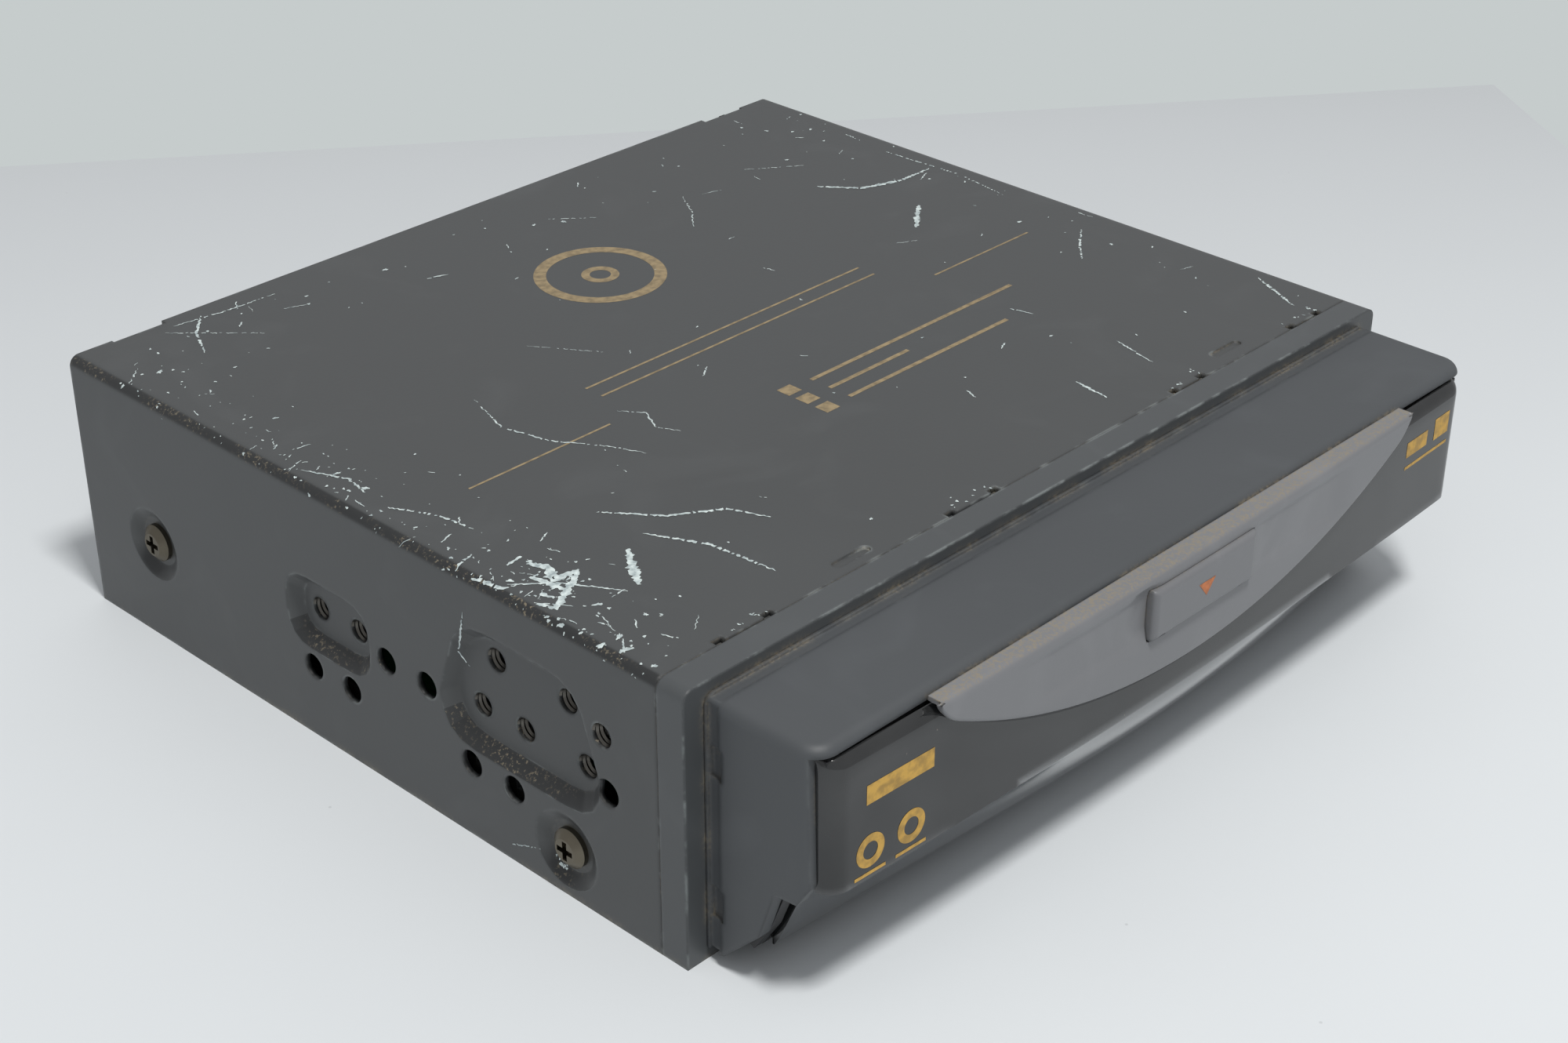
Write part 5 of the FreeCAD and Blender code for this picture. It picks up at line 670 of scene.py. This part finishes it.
def ragged_line(bm, spots, width, rng, broken=0.0):
    """A scratch through (across, back) spots, ragged, narrow at its ends and broken here and there."""
    points = []
    for (a, b), (c, e) in zip(spots, spots[1:]):
        count = max(2, int(math.hypot(c - a, e - b) / 0.4))
        points += [(a + (c - a) * i / count, b + (e - b) * i / count) for i in range(count)]
    points.append(spots[-1])
    rows = []
    lift = PRINT_LIFT + rng.uniform(0.0, 0.02)
    for i, (across, back) in enumerate(points):
        c, e = points[min(i + 1, len(points) - 1)]
        a, b = points[max(i - 1, 0)]
        length = math.hypot(c - a, e - b) or 1.0
        normal = ((e - b) / length, -(c - a) / length)
        taper = math.sin(math.pi * (i + 0.5) / len(points)) ** 0.4
        reach = width * taper * rng.uniform(0.35, 1.0) / 2
        drift = rng.uniform(-0.15, 0.15)
        offsets = (drift + reach, drift - reach)
        ends = [(across + normal[0] * offset, back + normal[1] * offset) for offset in offsets]
        rows.append([bm.verts.new(cover_skin(*end, lift)) for end in ends])
    for first, second in zip(rows, rows[1:]):
        if rng.random() >= broken:
            bm.faces.new((first[0], second[0], second[1], first[1]))


def flake(bm, across, back, size, rng):
    """A ragged chip of paint."""
    count = 12 + int(size * 5)
    turn = rng.uniform(0, math.pi)
    stretch = rng.uniform(0.3, 0.9)
    lift = PRINT_LIFT + rng.uniform(0.0, 0.02)
    lobes = [(k, rng.uniform(0.05, 0.22), rng.uniform(0, 2 * math.pi)) for k in (2, 3, 5)]
    corners = []
    for i in range(count):
        angle = 2 * math.pi * i / count
        bulge = sum(depth * math.sin(k * angle + start) for k, depth, start in lobes)
        reach = size / 2 * (0.85 + bulge + rng.uniform(-0.16, 0.16))
        a, b = math.cos(angle) * reach, math.sin(angle) * reach * stretch
        spot = (across + a * math.cos(turn) - b * math.sin(turn),
                back + a * math.sin(turn) + b * math.cos(turn))
        corners.append(bm.verts.new(cover_skin(*spot, lift)))
    bm.faces.new(corners)


# Scratches as (across, distance behind the collar) spots, with the width of each and how broken it is.
SCRATCHES = (
    (((-50.1, 90.7), (-53.5, 79.7), (-51.2, 70.4), (-45.4, 61.3), (-42.9, 55.5)), 0.45, 0.25),
    (((-68.9, 152), (-59.3, 150.6), (-47.8, 150.0)), 0.5, 0.2),
    (((-62.9, 152.0), (-67.7, 146.7), (-71.3, 138.9)), 0.7, 0.1),
    (((-72.1, 151.3), (-58.9, 137.6)), 0.3, 0.35),
    (((66.5, 91.5), (57.9, 84.7)), 1.5, 0.0),
    (((59.2, 112.9), (65.2, 105.5), (73.8, 102.5), (82.5, 102.6)), 1.2, 0.1),
    (((37.1, 128.9), (33.0, 122.0), (27.7, 116.0)), 0.35, 0.2),
    (((-88.7, 50.0), (-84.3, 51.2)), 0.7, 0.1),
    (((-88.6, 46.5), (-88.2, 45.0), (-87.5, 40.1), (-85.2, 39.2)), 0.9, 0.1),
    (((-82.7, 44.7), (-79.4, 45.3)), 0.9, 0.0),
    (((-80.3, 43.0), (-78.7, 39.7), (-80.9, 36.4), (-75.9, 35.9)), 2.0, 0.0),
    (((-86.4, 40.5), (-80.5, 35.1), (-75.0, 26.0)), 0.6, 0.0),
    (((-76.3, 35.5), (-81.2, 32.7), (-86.0, 29.9)), 1.9, 0.0),
    (((-82.5, 39.7), (-81.9, 36.6), (-81.2, 32.7)), 1.4, 0.0),
    (((-84.8, 34.9), (-84.0, 32.5)), 1.2, 0.0),
    (((-87.6, 14.5), (-85.3, 13.9)), 1.1, 0.0),
    (((-61.5, 36.9), (-56.7, 27.0), (-55.3, 14.0)), 0.8, 0.15),
    (((-66.4, 35.1), (-70.5, 29.5), (-72.6, 26.1)), 2.2, 0.0),
    (((26.8, 20.6), (25.8, 13.0)), 0.7, 0.0),
    (((44.7, 25.3), (42.2, 15.6)), 0.4, 0.1),
    (((83.0, 116.7), (84.3, 96.0), (82.3, 82.7)), 0.5, 0.4),
    (((80.4, 61.3), (73.0, 56.0), (68.6, 52.0)), 0.6, 0.3),
    (((84.7, 22.8), (79.0, 10.9)), 0.8, 0.2),
    (((-36.0, 70.0), (-33.0, 66.0), (-35.5, 61.0), (-33.5, 57.0)), 0.35, 0.1),
    (((-62.0, 47.0), (-55.0, 38.0), (-47.0, 33.0), (-44.0, 26.0)), 0.8, 0.1),
    (((-84.0, 72.0), (-80.0, 64.0), (-79.0, 57.0)), 0.7, 0.2),
    (((-86.0, 92.0), (-82.5, 84.0), (-83.5, 78.0)), 0.6, 0.2),
    (((-30.0, 100.0), (-22.0, 88.0)), 0.25, 0.4),
    (((10.0, 140.0), (18.0, 133.0)), 0.3, 0.3),
    (((55.0, 130.0), (66.0, 122.0)), 0.3, 0.3),
    (((side_across(42.9), 48.5), (side_across(35.0), 50.1), (side_across(33.3), 47.5)), 0.5, 0.2),
    (((side_across(2.9), 40.6), (side_across(5.8), 32.9)), 0.3, 0.3),
)

# Larger chips as (across, distance behind the collar, size).
LARGE_CHIPS = (
    (-80.8, 26.4, 1.6), (-84.0, 22.1, 1.3), (-84.7, 17.6, 2.0), (-86.6, 32.1, 1.8),
    (-85.8, 30.5, 1.9), (-79.6, 43.0, 1.7), (-79.8, 37.6, 2.4), (-81.6, 34.8, 2.3),
    (-77.9, 35.6, 2.0), (-88.0, 18.0, 1.7), (-88.2, 26.4, 1.1), (-71.0, 28.6, 2.1),
)


def make_scratches():
    rng = random.Random(MARK_SEED)
    bm = bmesh.new()
    for spots, width, broken in SCRATCHES:
        ragged_line(bm, spots, width, rng, broken)
    for i in range(72):
        across, back = chip_spot(rng)
        turn = rng.gauss(0.9, 0.8)
        length = 0.8 + abs(rng.gauss(0, 2.4))
        end = (across + length * math.cos(turn), back + length * math.sin(turn))
        ragged_line(bm, ((across, back), end), rng.uniform(0.15, 0.45), rng, 0.1)
    marks = piece("cover_scratches", bm, "unit", finishes["bare_patch"])


def chip_spot(rng):
    """A place on the cover, mostly near the left bend and the other edges."""
    kind = rng.random()
    if kind < 0.5:
        return -87.5 + abs(rng.gauss(0, 7)), rng.uniform(8, 148)
    if kind < 0.62:
        return rng.gauss(-80, 4), rng.gauss(36, 9)
    if kind < 0.75:
        return rng.uniform(-66, 84), 150 - abs(rng.gauss(0, 9))
    if kind < 0.88:
        return 86.5 - abs(rng.gauss(0, 10)), rng.uniform(9, 148)
    return rng.uniform(-84, 84), rng.uniform(10, 146)


def make_chips():
    rng = random.Random(MARK_SEED + 1)
    bm = bmesh.new()
    for i in range(240):
        across, back = chip_spot(rng)
        flake(bm, across, min(max(back, 7.0), 150.0), 0.25 + abs(rng.gauss(0, 0.4)), rng)
    for i in range(60):
        flake(bm, -88.3 + rng.gauss(0, 0.7), rng.uniform(7, 150), 0.25 + abs(rng.gauss(0, 0.3)), rng)
    for across, back, size in LARGE_CHIPS:
        flake(bm, across, back, size, rng)
    for middle, half in SLIT_SPANS:
        for i in range(9):
            across = middle + rng.uniform(-half, half)
            back = CASE_FRONT + abs(rng.gauss(0, 1.0))
            flake(bm, across, back, rng.uniform(0.3, 0.8), rng)
    for i in range(14):
        flake(bm, side_across(5.5) + rng.gauss(0, 0.7), 27.6 + rng.gauss(0, 0.8), rng.uniform(0.4, 1.0), rng)
    chips = piece("cover_chips", bm, "unit", finishes["bare_patch"])


# Printed marks, all of them generic


def strip(bm, place, start, end, width):
    """A straight bar between two spots of a surface."""
    along = math.hypot(end[0] - start[0], end[1] - start[1])
    normal = ((end[1] - start[1]) / along * width / 2, -(end[0] - start[0]) / along * width / 2)
    ends = [(start[0] + normal[0], start[1] + normal[1]), (end[0] + normal[0], end[1] + normal[1]),
            (end[0] - normal[0], end[1] - normal[1]), (start[0] - normal[0], start[1] - normal[1])]
    bm.faces.new([bm.verts.new(place(*spot)) for spot in ends])


def ring(bm, place, centre, inner, outer, count=64, squash=1.0):
    """A flat ring on a surface."""
    rims = []
    for radius in (inner, outer):
        rims.append([bm.verts.new(place(centre[0] + radius * math.cos(2 * math.pi * i / count),
                                        centre[1] + radius * squash * math.sin(2 * math.pi * i / count)))
                     for i in range(count)])
    for i in range(count):
        k = (i + 1) % count
        bm.faces.new((rims[0][i], rims[1][i], rims[1][k], rims[0][k]))


def top_place(x, back):
    return cover_skin(x, back, PRINT_LIFT * 0.6)


def make_top_print():
    bm = bmesh.new()
    strip(bm, top_place, (-71.1, 67.4), (-40.0, 67.4), 0.45)
    strip(bm, top_place, (43.5, 67.4), (71.1, 67.4), 0.45)
    for back, end in ((54.3, 50.0), (49.9, 16.0), (45.3, 38.0)):
        strip(bm, top_place, (-11.6, back), (-8.4, back), 3.0)
        strip(bm, top_place, (-4.5, back), (end, back), 0.9)
    ring(bm, top_place, (0.0, 113.0), 10.2, 12.6)
    ring(bm, top_place, (0.0, 113.0), 2.0, 3.6)
    for back in (76.0, 80.0):
        strip(bm, top_place, (-34.0, back), (36.0, back), 0.5)
    print_piece = piece("cover_print", bm, "unit", finishes["gold_dull"])


def panel_place(x, z):
    return point(x, -(panel_front(x) + PRINT_LIFT), z)


def make_door_print():
    bm = bmesh.new()
    for x in (-75.0, -66.5):
        ring(bm, panel_place, (x, 27.5), 1.5, 2.9)
        strip(bm, panel_place, (x - 3.2, 23.5), (x + 3.2, 23.5), 0.6)
    strip(bm, panel_place, (-76.0, 37.5), (-62.0, 37.5), 3.4)
    strip(bm, panel_place, (64.0, 38.6), (71.0, 38.6), 3.0)
    strip(bm, panel_place, (73.5, 39.0), (78.5, 39.0), 4.2)
    strip(bm, panel_place, (64.0, 35.0), (78.5, 35.0), 0.6)
    marks = piece("door_print", bm, "door", finishes["gold_bright"])


def button_place(x, z):
    return point(x, -(BUTTON_FRONT + PRINT_LIFT), z)


def make_button_mark():
    """A plain arrow that points down, the way that the door opens."""
    bm = bmesh.new()
    bm.faces.new([bm.verts.new(button_place(*spot)) for spot in ((-2.2, 41.6), (2.2, 41.6), (0.0, 38.9))])
    mark = piece("button_mark", bm, "button", finishes["orange_print"])


# Threads in the tapped holes of the sides

TAP_SPOTS = ((23.3, 25.1), (37.5, 25.1), (47.6, 25.1), (78.8, 25.1), (89.0, 25.1), (27.2, 35.2), (43.6, 35.2))
FLUSH_TAP = (17.5, 34.6)
RECESS_DEPTH = 2.2
THREAD_PITCH = 0.8
THREAD_OUTER = 2.08
THREAD_INNER = 1.82
THREAD_TURNS = 2.4


def thread(bm, side, inwards, back, z):
    """A V-shaped ridge that winds into a hole."""
    count = int(THREAD_TURNS * 36)
    rows = []
    for i in range(count + 1):
        angle = 2 * math.pi * i / 36
        middle = inwards + 0.35 + THREAD_PITCH * i / 36
        row = []
        for radius, shift in ((THREAD_OUTER, -0.36), (THREAD_INNER, 0.0), (THREAD_OUTER, 0.36)):
            x = side * (CASE_HALF - middle - shift)
            row.append(bm.verts.new(point(x, back + radius * math.cos(angle), z + radius * math.sin(angle))))
        rows.append(row)
    for first, second in zip(rows, rows[1:]):
        for k in (0, 1):
            bm.faces.new((first[k], first[k + 1], second[k + 1], second[k]))


def make_threads():
    bm = bmesh.new()
    for side in (-1, 1):
        for back, z in TAP_SPOTS:
            thread(bm, side, RECESS_DEPTH, back, z)
        thread(bm, side, 0.0, *FLUSH_TAP)
    threads = piece("side_threads", bm, "unit", finishes["thread_steel"], smooth_below=20.0)


finishes["bare_patch"] = bare_patch("bare_patch")
finishes["thread_steel"] = metal("thread_steel", rgb(104, 101, 96), 0.3)
finishes["gold_dull"] = gold_print("gold_dull", rgb(150, 132, 100))
finishes["gold_bright"] = gold_print("gold_bright", rgb(200, 158, 70))
finishes["orange_print"] = gold_print("orange_print", rgb(196, 116, 66))

make_door_skin()
make_crescent()
make_crescent_shadow_strip()
make_scratches()
make_chips()
make_top_print()
make_door_print()
make_button_mark()
make_threads()


# Room, light and camera

FLOOR = rgb(216, 220, 223)
WALL_LENGTH = 4.0
CORNER = (0.3299, 0.0411)
ALONG_LEFT_WALL = (-0.793, 0.609)
ALONG_RIGHT_WALL = (-0.592, -0.806)


def make_floor():
    """A pale table top that ends where the photo's walls begin, with painted shade toward their corner."""
    left, right = [(CORNER[0] + run[0] * WALL_LENGTH, CORNER[1] + run[1] * WALL_LENGTH)
                   for run in (ALONG_LEFT_WALL, ALONG_RIGHT_WALL)]
    bm = bmesh.new()
    bm.faces.new([bm.verts.new((*spot, 0)) for spot in (left, right, CORNER)])
    mesh = bpy.data.meshes.new("floor")
    bm.to_mesh(mesh)
    bm.free()
    item = bpy.data.objects.new("floor", mesh)
    bpy.context.scene.collection.objects.link(item)
    made = Finish("floor", FLOOR, 0.6)
    cloud = made.ramp(made.noise(5.0, 4.0), 0.35, 0.7)
    specks = made.ramp(made.cells(60.0), 0.012, 0.02, 0.35, 0.0)
    # Painted shade: the floor grows darker toward the corner of the walls, as the light falls off to the
    # rear.
    shade_toward_corner = made.math("ADD", made.math("MULTIPLY", made.axis("X"), 0.72),
                     made.math("MULTIPLY", made.axis("Y"), 0.69))
    base = made.blend(cloud, toned(FLOOR, 0.96), FLOOR)
    base = made.blend(made.ramp(shade_toward_corner, 0.0, 0.26, 0.0, 1.0), base, toned(FLOOR, 0.8))
    made.set("Base Color", made.blend(specks, base, toned(FLOOR, 0.5)))
    made.bump(made.noise(600.0, 3.0), 0.00003, 0.4)
    mesh.materials.append(made.material)


def lamp(name, place, target, size, power, color=(1.0, 1.0, 1.0)):
    data = bpy.data.lights.new(name, "AREA")
    data.shape = "SQUARE"
    data.size = size
    data.energy = power
    data.color = color
    item = bpy.data.objects.new(name, data)
    item.location = place
    item.rotation_euler = (Vector(target) - Vector(place)).to_track_quat("-Z", "Y").to_euler()
    bpy.context.scene.collection.objects.link(item)


def make_light():
    """An even pale room, whose walls show behind the table, and a lamp above it."""
    world = bpy.data.worlds.new("studio")
    world.use_nodes = True
    tree = world.node_tree
    background = tree.nodes["Background"]
    background.inputs["Color"].default_value = (0.97, 0.985, 1.0, 1.0)
    background.inputs["Strength"].default_value = 0.5
    wall = tree.nodes.new("ShaderNodeBackground")
    wall.inputs["Color"].default_value = rgb(198, 204, 204)
    mix = tree.nodes.new("ShaderNodeMixShader")
    tree.links.new(tree.nodes.new("ShaderNodeLightPath").outputs["Is Camera Ray"], mix.inputs[0])
    tree.links.new(background.outputs[0], mix.inputs[1])
    tree.links.new(wall.outputs[0], mix.inputs[2])
    tree.links.new(mix.outputs[0], tree.nodes["World Output"].inputs["Surface"])
    bpy.context.scene.world = world
    lamp("key", (-0.2, -0.5, 1.2), (0, 0, 0.02), 0.2, 12.0, (1.0, 0.99, 0.97))


CAMERA_PLACE = (-0.303127, -0.292206, 0.256316)
CAMERA_AZIMUTH = -46.3673
CAMERA_ELEVATION = 29.9074
CAMERA_ROLL = 0.11865
CAMERA_LENS = 60.26


def make_camera():
    azimuth = math.radians(CAMERA_AZIMUTH)
    elevation = math.radians(CAMERA_ELEVATION)
    roll = math.radians(CAMERA_ROLL)
    back = Vector((math.sin(azimuth) * math.cos(elevation),
                   -math.cos(azimuth) * math.cos(elevation),
                   math.sin(elevation)))
    level = (-back).cross(Vector((0, 0, 1))).normalized()
    upright = level.cross(-back)
    right = level * math.cos(roll) + upright * math.sin(roll)
    up = upright * math.cos(roll) - level * math.sin(roll)
    data = bpy.data.cameras.new("camera")
    data.sensor_width = 36.0
    data.lens = CAMERA_LENS
    item = bpy.data.objects.new("camera", data)
    turn = Matrix((right, up, back)).transposed().to_4x4()
    item.matrix_world = Matrix.Translation(Vector(CAMERA_PLACE)) @ turn
    bpy.context.scene.collection.objects.link(item)
    bpy.context.scene.camera = item


make_floor()
make_light()
make_camera()
bpy.context.scene.view_settings.view_transform = "Standard"
